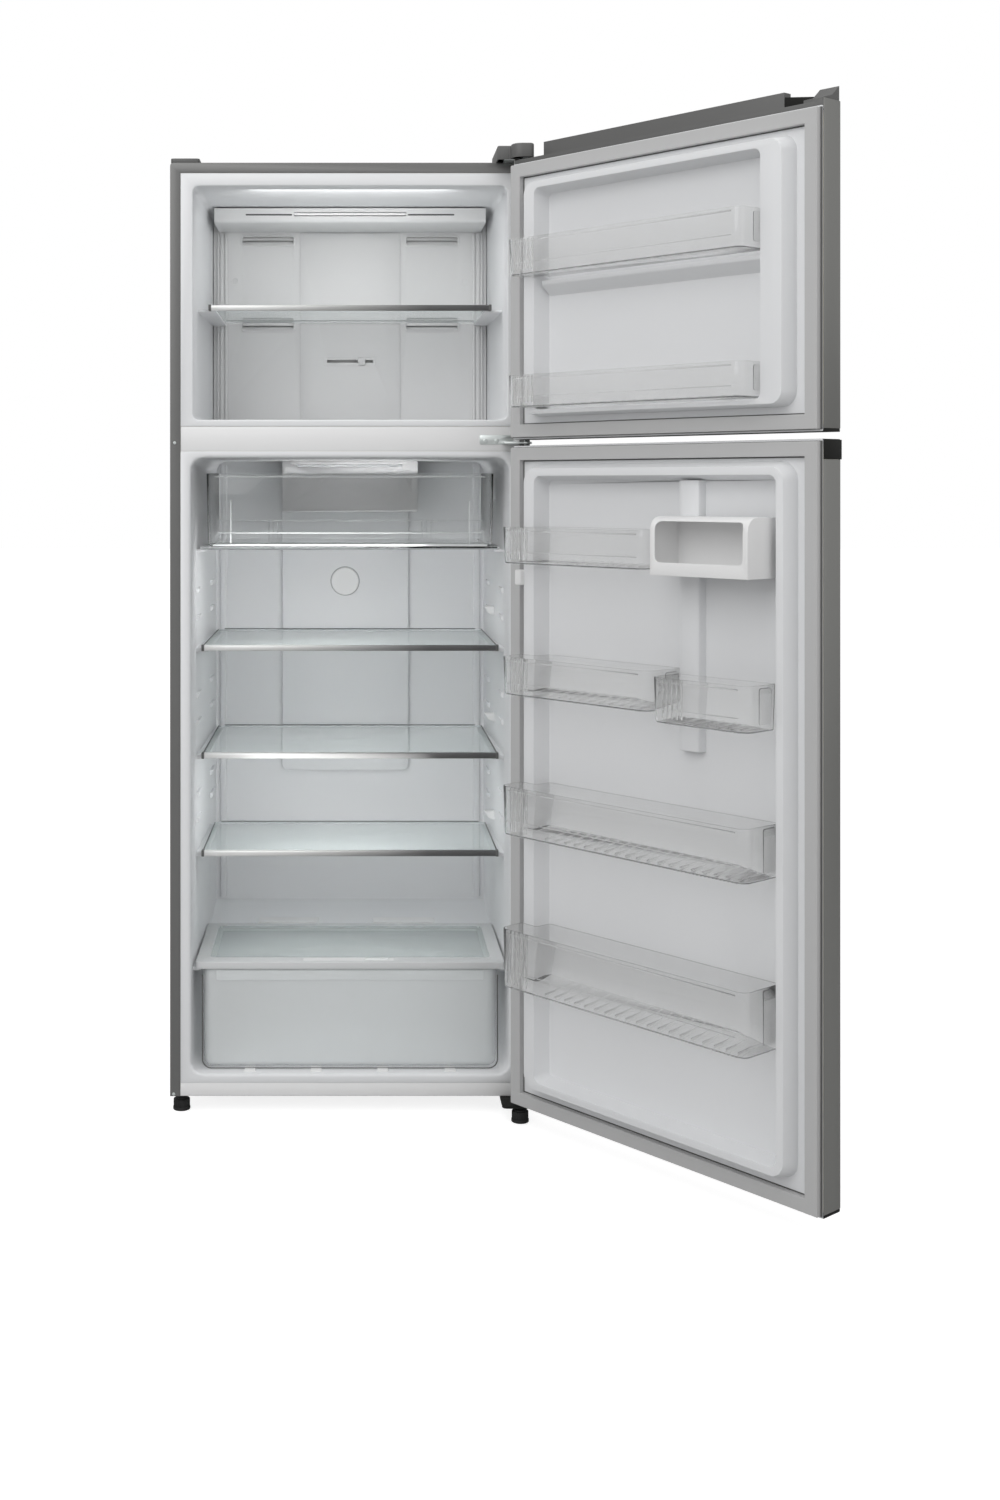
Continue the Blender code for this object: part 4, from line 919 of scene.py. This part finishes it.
@dataclass
class FridgeCompartment:
    """The fresh food compartment's liner, air duct, controls and side supports."""

    mouth: tuple[float, float, float, float] = (-310.0, 310.0, 77.0, 1276.0)
    wall_draft: float = 10 / 530
    support_levels: tuple[int, ...] = (1010, 955, 800, 745, 600, 550)
    stop_levels: tuple[int, ...] = (957, 732, 525)

    def build(self) -> None:
        """Make and dress the fresh food compartment."""
        rounded_liner("fridge_liner", self.mouth, LINER)
        fine_copy("fridge_duct_panel", CASE, LINER, 1.6, 3)
        fine_copy("control_cover", CASE, TRIM, 1.2, 3)
        for side in SIDES:
            fine_mover(f"duct_slider_{side_name(side)}", BLACK)
        self.filter_cap()
        self.supports()
        self.hump_pads()
        self.corner_columns()
        lens = Workpiece.soft("fridge_lamp_lens", (-114.5, 428.6, 1262.3),
                              (114.5, 430.2, 1267.7), 0.5)
        lens.deliver(CASE, UNLIT_LENS_AND_GAP_SHADE)

    def filter_cap(self) -> None:
        """The round cap of the odour filter, with a grey ring behind it that paints the shadow in
        the gap round it.
        """
        # Painted shadow: the grey ring shows as a dark line round the cap.
        gap = Workpiece.rod("odour_filter_gap", (-11, 516.5, 1008), 32.6, 0.9, Way.Y, 64)
        gap.soften(0.2, 1).deliver(CASE, UNLIT_LENS_AND_GAP_SHADE)
        cap = Workpiece.rod("odour_filter_cap", (-11, 511.6, 1008), 31.0, 9.0, Way.Y, 64)
        cap.inset(facing((0, -1, 0)), (3.0, 0.0), (0.6, -2.4), (1.6, 0.0), (0.6, 2.4))
        cap.soften(0.6, 3).deliver(CASE, TRIM)

    def supports(self) -> None:
        """The short shelf supports on both side walls, and the stops on the right one."""
        for side, z, y in product(SIDES, self.support_levels, (140, 420)):
            wall = self.mouth[1] - self.wall_draft * y
            x0, x1 = span(side, wall + 3, wall - 5)
            lug = Workpiece.block(f"support_{side_name(side)[0]}_{z}_{y}",
                                  (x0, y - 32, z - 6), (x1, y + 32, z + 6))
            inner = wall - 2.5
            lug.move(lambda point, _: abs(point.x) < inner and point.z < z, (0, 0, 4))
            lug.round_edges(lambda middle, _: abs(middle.x) < inner, 2.0, 3)
            lug.deliver(CASE, LINER)
        for z in self.stop_levels:
            stop = Workpiece.block(f"shelf_stop_{z}", (283, 288, z - 10), (306, 312, z + 10))
            stop.move(lambda point, _: point.x < 290 and point.z < z, (8, 0, 6))
            stop.round_edges(lambda middle, _: middle.x < 303, 4.0, 4).deliver(CASE, TRIM)

    def hump_pads(self) -> None:
        """The two low pads on the step over the machine compartment."""
        for name, x0, x1 in (("left", -199, -68), ("right", 50, 184)):
            pad = Workpiece.block(f"hump_pad_{name}", (x0, 402, 266), (x1, 427, 273.4))
            pad.move(lambda point, _: point.y > 410, (0, 0, 4.5))
            pad.round_edges(lambda middle, _: middle.z > 271, 2.0, 3).deliver(CASE, TRIM)

    def corner_columns(self) -> None:
        """The upright pipes moulded down both back corners."""
        for side in SIDES:
            column = Workpiece.block(f"corner_column_{side_name(side)}",
                                     (side * 284 - 8, 524, 300), (side * 284 + 8, 529.9, 1270))
            column.round_edges(along(Way.Z, lambda middle: middle.y < 526), 5.0, 4)
            column.round_edges(lambda middle, _: middle.z < 301 and middle.y < 529, 4.0, 4)
            column.deliver(CASE, LINER)


@dataclass
class GlassShelf:
    """A glass shelf with its metal front trim, side edges and end clips."""

    name: str
    half: float
    half_back: float
    front: float
    back: float
    top: float

    def build(self) -> None:
        """Make and dress the shelf."""
        station = Station(self.name)
        fine_copy(f"{self.name}_glass", station, GLASS, 0.5)
        fine_copy(f"{self.name}_trim", station, SATIN_PAINTED_SHADE, 0.6, 3)
        for side in SIDES:
            self.side_edge(station, side)
            self.end_clip(station, side)
        self.rear_edge(station)

    def glass_top(self) -> float:
        """Height of the glass's top face."""
        return corners(f"{self.name}_glass")[1].z / MILLIMETRE

    def side_edge(self, station: Station, side: int) -> None:
        """A thin dark strip down one slanted side of the glass."""
        over = self.glass_top()
        x0, x1 = span(side, self.half - 1.2, self.half - 3.4)
        strip = Workpiece.block(f"{self.name}_side_{side_name(side)}",
                                (x0, self.front + 14, over + 0.1),
                                (x1, self.back - 14, over + 1.6))
        shift = -side * (self.half - self.half_back - 0.6)
        strip.move(lambda point, _: point.y > (self.front + self.back) / 2, (shift, 0, 0))
        strip.soften(0.3, 2).deliver(station, DARK_GREY)

    def rear_edge(self, station: Station) -> None:
        """The thin strip along the glass's back edge."""
        over, reach = self.glass_top(), self.half_back - 14
        strip = Workpiece.soft(f"{self.name}_rear", (-reach, self.back - 2.4, over + 0.1),
                               (reach, self.back - 0.4, over + 2.0), 0.4)
        strip.deliver(station, DARK_GREY)

    def end_clip(self, station: Station, side: int) -> None:
        """The plastic clip on one end of the trim."""
        x0, x1 = span(side, self.half + 0.4, self.half - 5.0)
        clip = Workpiece.soft(f"{self.name}_clip_{side_name(side)}",
                              (x0, self.front - 0.6, self.top - 11.4),
                              (x1, self.front + 15, self.top + 0.8), 0.9, 3)
        clip.deliver(station, DARK_GREY)


# ------------------------------------------------------------------ drawers and bins
@dataclass
class Tray:
    """An open box of clear plastic, made from a block: rounded, tapered, opened and walled."""

    name: str
    low: tuple[float, float, float]
    high: tuple[float, float, float]
    corner: float = 16.0
    foot: float = 5.0
    taper: float = 2.0
    thickness: float = 2.0

    def shell(self) -> Workpiece:
        """The walled tray, open at the top."""
        piece = Workpiece.block(self.name, self.low, self.high)
        self.plan(piece)
        centre = (Vector(self.low) + Vector(self.high)) / 2
        width, depth = self.high[0] - self.low[0], self.high[1] - self.low[1]
        narrowed = (1 - 2 * self.taper / width, 1 - 2 * self.taper / depth, 1)
        if piece.pick("VERT", lambda point, _: point.z < self.low[2] + 0.01):
            bpy.ops.transform.resize(value=narrowed,
                                     center_override=(centre.x, centre.y, self.low[2]))
        piece.leave()
        piece.round_edges(
            lambda middle, direction: middle.z < self.low[2] + 0.01 and abs(direction.z) < 0.1,
            self.foot, 4)
        piece.remove(facing((0, 0, 1), lambda middle: middle.z > self.high[2] - 0.1))
        return piece.wall(self.thickness)

    def plan(self, piece: Workpiece) -> None:
        """Round the upright corners of the block."""
        piece.round_edges(along(Way.Z), self.corner, 5)


@dataclass
class DoorBin(Tray):
    """A door bin: its hinge end laps over the liner's raised frame, and its front is rounded."""

    notched: bool = True
    step_x: float = 256.0
    step_y: float = 20.8
    margin: float = 20.0
    tooth_pitch: float = 8.0
    comb_pitch: float = 10.0
    rib_pitch: float = 24.0

    def plan(self, piece: Workpiece) -> None:
        """Cut the step that laps over the frame, then round the front corners."""
        if self.notched:
            piece.cut(Workpiece.block("step", (self.step_x, self.low[1] - 5, self.low[2] - 5),
                                      (self.high[0] + 5, self.step_y, self.high[2] + 5)))
        front = self.high[1]
        piece.round_edges(along(Way.Z, lambda middle: middle.y > front - 1), self.corner, 5)
        piece.round_edges(along(Way.Z, lambda middle: middle.y < front - 20), 3.0, 3)

    def build(self, station: Station, node: str) -> None:
        """Make the bin with its rim, foot line, teeth, comb, base ribs and end plate."""
        piece = self.shell().soften(0.45, 2, 45)
        (x0, y0, z0), (x1, y1, z1) = self.low, self.high
        left, right, line = x0 + self.margin, x1 - self.margin, z0 + 0.3 * (z1 - z0)
        rim = Workpiece.soft("rim", (left, y1 - 0.1, z1 - 8), (right, y1 + 1.3, z1 - 5.6), 0.5)
        foot = Workpiece.soft("foot", (left, y1 - 0.3, line), (right, y1 + 0.9, line + 1.6), 0.4)
        teeth = Workpiece.soft("teeth", (left, y1 - 8.6, z0 - 0.9),
                               (left + 2.4, y1 - 3.6, z0 + 0.4), 0.3, 1)
        teeth.repeat(int((right - left) / self.tooth_pitch), (self.tooth_pitch, 0, 0))
        comb = Workpiece.soft("comb", (x1 - 66, y1 - 6.4, z0 + 8),
                              (x1 - 64.4, y1 - 2.4, z1 - 3), 0.4)
        comb.repeat(5, (self.comb_pitch, 0, 0))
        ribs = Workpiece.soft("ribs", (x0 + 26, y0 + 8, z0 + 2.3),
                              (x0 + 27.4, y1 - 16, z0 + 4.6), 0.4, 1)
        end = self.step_x if self.notched else x1
        ribs.repeat(max(2, int((end - x0 - 50) / self.rib_pitch)), (self.rib_pitch, 0, 0))
        plate = Workpiece.block("end_plate", (x0 + 2.4, y0 + 10, z0 + 12),
                                (x0 + 4.0, y0 + 42, z1 - 6))
        plate.round_edges(along(Way.X), 4.0, 3)
        piece.add(rim, foot, ribs, teeth, comb, plate.soften(0.4, 1))
        Workpiece(piece.item, self.name).deliver(station, BIN_CLEAR, node)


DOOR_BINS = (
    ("freezer_bin_upper", FREEZER_DOOR, (-245, -14, 1613), (295, 64, 1680)),
    ("freezer_bin_lower", FREEZER_DOOR, (-245, -14, 1367.5), (295, 64, 1427)),
    ("door_bin_top", FRIDGE_DOOR, (-55, -14, 1078), (295, 79, 1145)),
    ("door_bin_middle_left", FRIDGE_DOOR, (-60, -14, 835), (295, 79, 905)),
    ("door_bin_wide", FRIDGE_DOOR, (-265, -14, 575), (295, 79, 665)),
    ("bottle_bin", FRIDGE_DOOR, (-265, -14, 292), (295, 79, 400)),
)


@dataclass
class Drawers:
    """The chiller drawer under the ceiling, and the crisper with its cover."""

    def build(self) -> None:
        """Make and dress the drawers and their covers."""
        self.chiller()
        self.crisper()
        fine_copy("chiller_shelf", CASE, CLEAR, 0.8)
        self.cover()

    def cover(self) -> None:
        """The crisper's cover: a frame with a glass pane, and its slider on a track plate."""
        cover = Workpiece.from_frame("crisper_cover", CASE)
        window = Workpiece.block("window", (-268, 74, 260), (268, 302, 300))
        cover.cut(window.round_edges(along(Way.Z), 8.0, 4))
        cover.soften(1.2, 3, 45).deliver(CASE, COVER, "crisper_cover")
        fine_mover("humidity_slider", PALE_PLASTIC_AND_HIGHLIGHT)
        track = Workpiece.block("humidity_track", (-92, 38.5, 287.3), (86, 57.5, 287.72))
        track.round_edges(along(Way.Z), 3.0, 4).deliver(CASE, TRIM)
        glass = Workpiece.block("crisper_cover_glass", (-277.4, 64.6, 283.8), (277.4, 311.4, 287.2))
        glass.round_edges(along(Way.Z), 9.0, 4)
        glass.soften(0.5, 2).deliver(CASE, GLASS)

    def chiller(self) -> None:
        """The clear drawer with inner posts and front bars, and pale strips on its front that paint
        the highlights on its edges.
        """
        station = Station("chiller_drawer")
        tray = Tray("chiller_drawer_fine", (-288, 92, 1100.4), (288, 412, 1246),
                    taper=3.0, thickness=2.4)
        piece = tray.shell().soften(0.5, 2, 45)
        parts = [Workpiece.soft("post", (x - 1.3, 95.4, 1104), (x + 1.3, 102, top), 0.5)
                 for x, top in ((-238, 1192), (-162, 1150), (-153, 1150), (-144, 1150),
                                (144, 1150), (153, 1150), (162, 1150), (238, 1192))]
        parts += [Workpiece.soft("bar", (-264, 92 - proud, z), (264, 94, z + 2 + proud), 0.7)
                  for z, proud in ((1238, 2.0), (1150, 1.2), (1126, 1.6), (1103, 2.6))]
        piece.add(*parts)
        Workpiece(piece.item, "chiller_drawer_fine").deliver(station, CLEAR, "chiller_drawer")
        # Painted highlights: pale opaque strips in front of the clear drawer stand for the light
        # caught by its bars and posts.
        for name, x, z, height in (("foot", 274, 1101.0, 3.6), ("line", 262, 1126.4, 1.6),
                                   ("rail", 270, 1238.0, 2.2)):
            edge = Workpiece.soft(f"chiller_edge_{name}", (-x, 88.6, z), (x, 90.6, z + height), 0.6)
            edge.deliver(station, PALE_PLASTIC_AND_HIGHLIGHT)
        for side in SIDES:
            x = side * 238
            edge = Workpiece.soft(f"chiller_edge_{side_name(side)}",
                                  (x - 1.2, 89.4, 1106), (x + 1.2, 91.6, 1190), 0.5)
            edge.deliver(station, PALE_PLASTIC_AND_HIGHLIGHT)

    def crisper(self) -> None:
        """The frosted drawer with a ribbed floor and a dark strip of painted shade round its edge,
        on four slide bumps.
        """
        station = Station("crisper_drawer")
        tray = Tray("crisper_drawer_fine", (-290, 30, 79.5), (290, 332, 273), 22.0, 14.0,
                    thickness=2.5)
        piece = tray.shell().soften(0.5, 2, 45)
        ribs = Workpiece.soft("ribs", (-252, 56, 81.8), (252, 59, 84.0), 0.6)
        ribs.repeat(21, (0, 12.0, 0))
        piece.add(ribs, Workpiece.soft("lip", (-262, 27.8, 252), (262, 30.4, 271), 1.0, 3))
        Workpiece(piece.item, "crisper_drawer_fine").deliver(station, FROSTED, "crisper_drawer")
        # Painted shade: a dark strip round the drawer's front edge stands for the darkening that
        # the clear wall's edge shows.
        lower = along(Way.Y, lambda middle: middle.z < 100)
        outline = Workpiece.block("crisper_outline", (-290.6, 29.0, 78.6), (290.6, 31.4, 262))
        outline.round_edges(lower, 18.0, 6)
        inside = Workpiece.block("inside", (-288.2, 20, 80.0), (288.2, 40, 300))
        outline.cut(inside.round_edges(lower, 16.5, 6))
        outline.soften(0.3, 1).deliver(station, DARK_GREY)
        for number, x in enumerate((-196.0, -66.0, 64.0, 196.0)):
            bump = Workpiece.block(f"crisper_slide_{number}",
                                   (x - 11, 14, 76.0), (x + 11, 44, 79.2))
            bump.round_edges(lambda middle, _: middle.z > 78.5, 1.4, 3).deliver(CASE, TRIM)


# ------------------------------------------------------------------ doors
@dataclass
class DoorLeaf:
    """A door: steel skin, end caps, moulded liner and magnetic gasket."""

    name: str
    station: Station

    def build(self) -> None:
        """Make and dress the door leaf."""
        fine_copy(f"{self.name}_skin", self.station, DOOR_STEEL, 0.4)
        top = DARK_GREY if self.name == "freezer_door" else BLACK
        fine_copy(f"{self.name}_top_cap", self.station, top, 0.7)
        fine_copy(f"{self.name}_bottom_cap", self.station, BLACK, 0.7)
        liner = Workpiece.from_frame(f"{self.name}_liner", self.station)
        liner.soften(5.0, 5, 30).deliver(self.station, LINER, f"{self.name}_liner")
        self.gasket()
        low, high = corners(f"{self.name}_gasket")
        z0, z1 = low.z / MILLIMETRE, high.z / MILLIMETRE
        # Painted shadow: a dark frame where the gasket meets the door, and a dark line of painted
        # shade along the gasket's inner crease.
        painted_shade_frame(f"{self.name}_gasket_root", (-349.4, z0 - 1, 349.4, z1 + 1), 3.2,
                   (-11.9, -10.6), self.station)
        painted_shade_frame(f"{self.name}_gasket_line", (-321.8, z0 + 24.2, 321.8, z1 - 24.2), 2.2,
                   (-11.9, -11.3), self.station)

    def gasket(self) -> None:
        """The gasket with its raised magnet pocket."""
        node = f"{self.name}_gasket"
        seal = Workpiece.from_frame(node, self.station)
        front = facing((0, 1, 0), lambda middle: middle.y > -2)
        seal.inset(front, (2.4, -0.4), (0.8, 0.0), (0.5, 0.4))
        seal.soften(0.5, 2, 40).deliver(self.station, GASKET, node)


def painted_shade_frame(name: str, outline: tuple[float, float, float, float], width: float,
               depth: tuple[float, float], station: Station) -> None:
    """A thin dark frame of painted shade on a door's inner face.

    Args:
        name: the piece's name.
        outline: left, bottom, right and top of its outer edge.
        width: the frame's width, inwards.
        depth: its Y from and to.
        station: the door that it stands on.
    """
    x0, z0, x1, z1 = outline
    frame_piece = Workpiece.block(name, (x0, depth[0], z0), (x1, depth[1], z1))
    frame_piece.cut(Workpiece.block("inside", (x0 + width, depth[0] - 5, z0 + width),
                                    (x1 - width, depth[1] + 5, z1 - width)))
    frame_piece.soften(0.2, 1).deliver(station, DARK_GREY)


@dataclass
class DoorTrim:
    """What is fixed to the doors: the dairy box, a black block of painted shade in the freezer
    cap's grip recess, the cap's bush, the bin ledge and the lug.
    """

    def build(self) -> None:
        """Make and dress them."""
        fine_copy("dairy_box", FRIDGE_DOOR, TRIM, 1.3, 3)
        # Painted shade: a black block stands for the shade seen in the grip recess at the freezer
        # door's top.
        recess_shade = Workpiece.block("freezer_cap_filler", (-310.4, -60, 1844.8), (-250.3, -46.5, 1870))
        recess_shade.move(lambda point, _: point.x < -300 and point.z > 1850, (0, 0, -9))
        recess_shade.soften(0.8, 2).deliver(FREEZER_DOOR, BLACK)
        bush = Workpiece.soft("freezer_cap_bush", (302.3, -60, 1844.8), (316, -47, 1849.2), 0.8)
        bush.deliver(FREEZER_DOOR, BLACK)
        ledge = Workpiece.block("freezer_bin_ledge", (-247, -17, 1577), (256, 8, 1605))
        ledge.move(lambda point, _: point.y > 0 and point.z < 1590, (0, 0, 20))
        ledge.round_edges(lambda middle, _: middle.y > 0, 2.5, 4).deliver(FREEZER_DOOR, LINER)
        lug = Workpiece.block("fridge_door_lug", (289, 19.5, 1035), (304.5, 31, 1064))
        lug.round_edges(lambda middle, _: middle.y > 20, 3.0, 4).deliver(FRIDGE_DOOR, TRIM)


# ------------------------------------------------------------------ studio
@dataclass(frozen=True)
class SoftBox:
    """An area light: its place and its target in metres, its size in metres, its power in watts."""

    name: str
    place: Point
    target: Point
    size: float
    power: float

    def build(self) -> bpy.types.Object:
        """Set the light up, aimed at its target."""
        clear_selection()
        bpy.ops.object.light_add(type="AREA", location=self.place)
        lamp = bpy.context.active_object
        lamp.name = self.name
        lamp.data.size = self.size
        lamp.data.energy = self.power
        aim = Vector(self.target) - Vector(self.place)
        lamp.rotation_euler = aim.to_track_quat("-Z", "Y").to_euler()
        return lamp


@dataclass(frozen=True)
class InnerLight(SoftBox):
    """A low, wide light in a compartment, hidden from the camera, placed in cabinet millimetres."""

    height: float = 0.1
    spread: float = 180.0

    def build(self) -> bpy.types.Object:
        """Set the light up in the cabinet's own frame."""
        place, target = CABINET @ Vector(self.place), CABINET @ Vector(self.target)
        lamp = SoftBox(self.name, place, target, self.size, self.power).build()
        lamp.data.shape = "RECTANGLE"
        lamp.data.size_y = self.height
        lamp.data.spread = math.radians(self.spread)
        lamp.visible_camera = lamp.visible_glossy = lamp.visible_transmission = False
        return lamp


LIGHTS = (
    SoftBox("key", (-2.2, -3.2, 3.4), (-0.1, 0.0, 1.1), 3.2, 70.0),
    SoftBox("fill", (2.6, -3.6, 2.2), (0.0, 0.1, 1.1), 3.0, 20.0),
    SoftBox("top", (0.0, -1.0, 4.2), (0.0, -0.2, 0.6), 3.0, 24.0),
    InnerLight("freezer_glow", (0, 30, 1785), (0, 400, 1560), 0.4, 0.55),
    InnerLight("control_glow", (0, 220, 1172), (0, 440, 1176), 0.25, 0.6, 0.05, 150.0),
    InnerLight("fridge_glow", (-40, 40, 1070), (-90, 520, 900), 0.36, 0.62, 0.1, 160.0),
    InnerLight("fridge_low_glow", (-20, 40, 640), (-60, 520, 450), 0.36, 0.55, 0.1, 160.0),
    InnerLight("crisper_glow", (0, 150, 262), (0, 190, 100), 0.45, 0.12, 0.06),
)


@dataclass
class Studio:
    """The pale floor, the white surround, the lights and the camera."""

    floor_size: float = 60.0
    sky_light: float = 0.55
    eye_height: float = 1.224
    distance: float = 3.42
    lens: float = 42.2
    shift: tuple[float, float] = (0.1, -0.177)

    def build(self) -> None:
        """Set the studio up."""
        self.floor()
        self.sky()
        for light in LIGHTS:
            light.build()
        self.camera()

    def floor(self) -> None:
        """A wide pale floor."""
        clear_selection()
        bpy.ops.mesh.primitive_plane_add(size=self.floor_size, location=(0, 0, -0.0005))
        ground = bpy.context.active_object
        ground.name = "floor"
        finish = Backdrop("floor_white", "trim_white", (0.5, 0.5, 0.5), 0.6, 0.0, 0.0, 0.0)
        ground.data.materials.append(finish.material())

    def sky(self) -> None:
        """An even white surround that lights less than it shows."""
        world = bpy.data.worlds.new("surround")
        world.use_nodes = True
        bpy.context.scene.world = world
        tree = Tree(world.node_tree)
        background = world.node_tree.nodes["Background"]
        camera_ray = tree.add("LightPath").outputs["Is Camera Ray"]
        tree.fill(background, {"Color": WHITE,
                               "Strength": tree.ramp(camera_ray, self.sky_light, 1.0)})

    def camera(self) -> None:
        """A level camera in front of the cabinet's centre line."""
        clear_selection()
        place = (CABINET.translation.x, CABINET.translation.y - self.distance, self.eye_height)
        bpy.ops.object.camera_add(location=place, rotation=(math.pi / 2, 0, 0))
        camera = bpy.context.active_object
        camera.data.lens = self.lens
        camera.data.shift_x, camera.data.shift_y = self.shift
        bpy.context.scene.camera = camera
        bpy.context.scene.view_settings.view_transform = "Standard"


def main() -> None:
    """Build the refrigerator, sub-assembly by sub-assembly."""
    logging.basicConfig(level=logging.INFO, format="%(message)s")
    CabinetShell().build()
    BackSide().build()
    Hinges().build()
    Footing().build()
    FreezerCompartment().build()
    FridgeCompartment().build()
    GlassShelf("freezer_shelf", 281, 281, 75, 385, 1581).build()
    for level, back, top in (("top", 510, 903), ("middle", 510, 688), ("bottom", 403, 493)):
        GlassShelf(f"fridge_shelf_{level}", 296, 294, 88, back, top).build()
    Drawers().build()
    DoorLeaf("freezer_door", FREEZER_DOOR).build()
    DoorLeaf("fridge_door", FRIDGE_DOOR).build()
    for node, station, low, high in DOOR_BINS:
        DoorBin(f"{node}_fine", low, high).build(station, node)
    DoorBin("door_bin_middle_right_fine", (-270, 4, 820), (-66, 79, 897),
            notched=False).build(FRIDGE_DOOR, "door_bin_middle_right")
    DoorTrim().build()
    Studio().build()


if __name__ == "__main__":
    main()
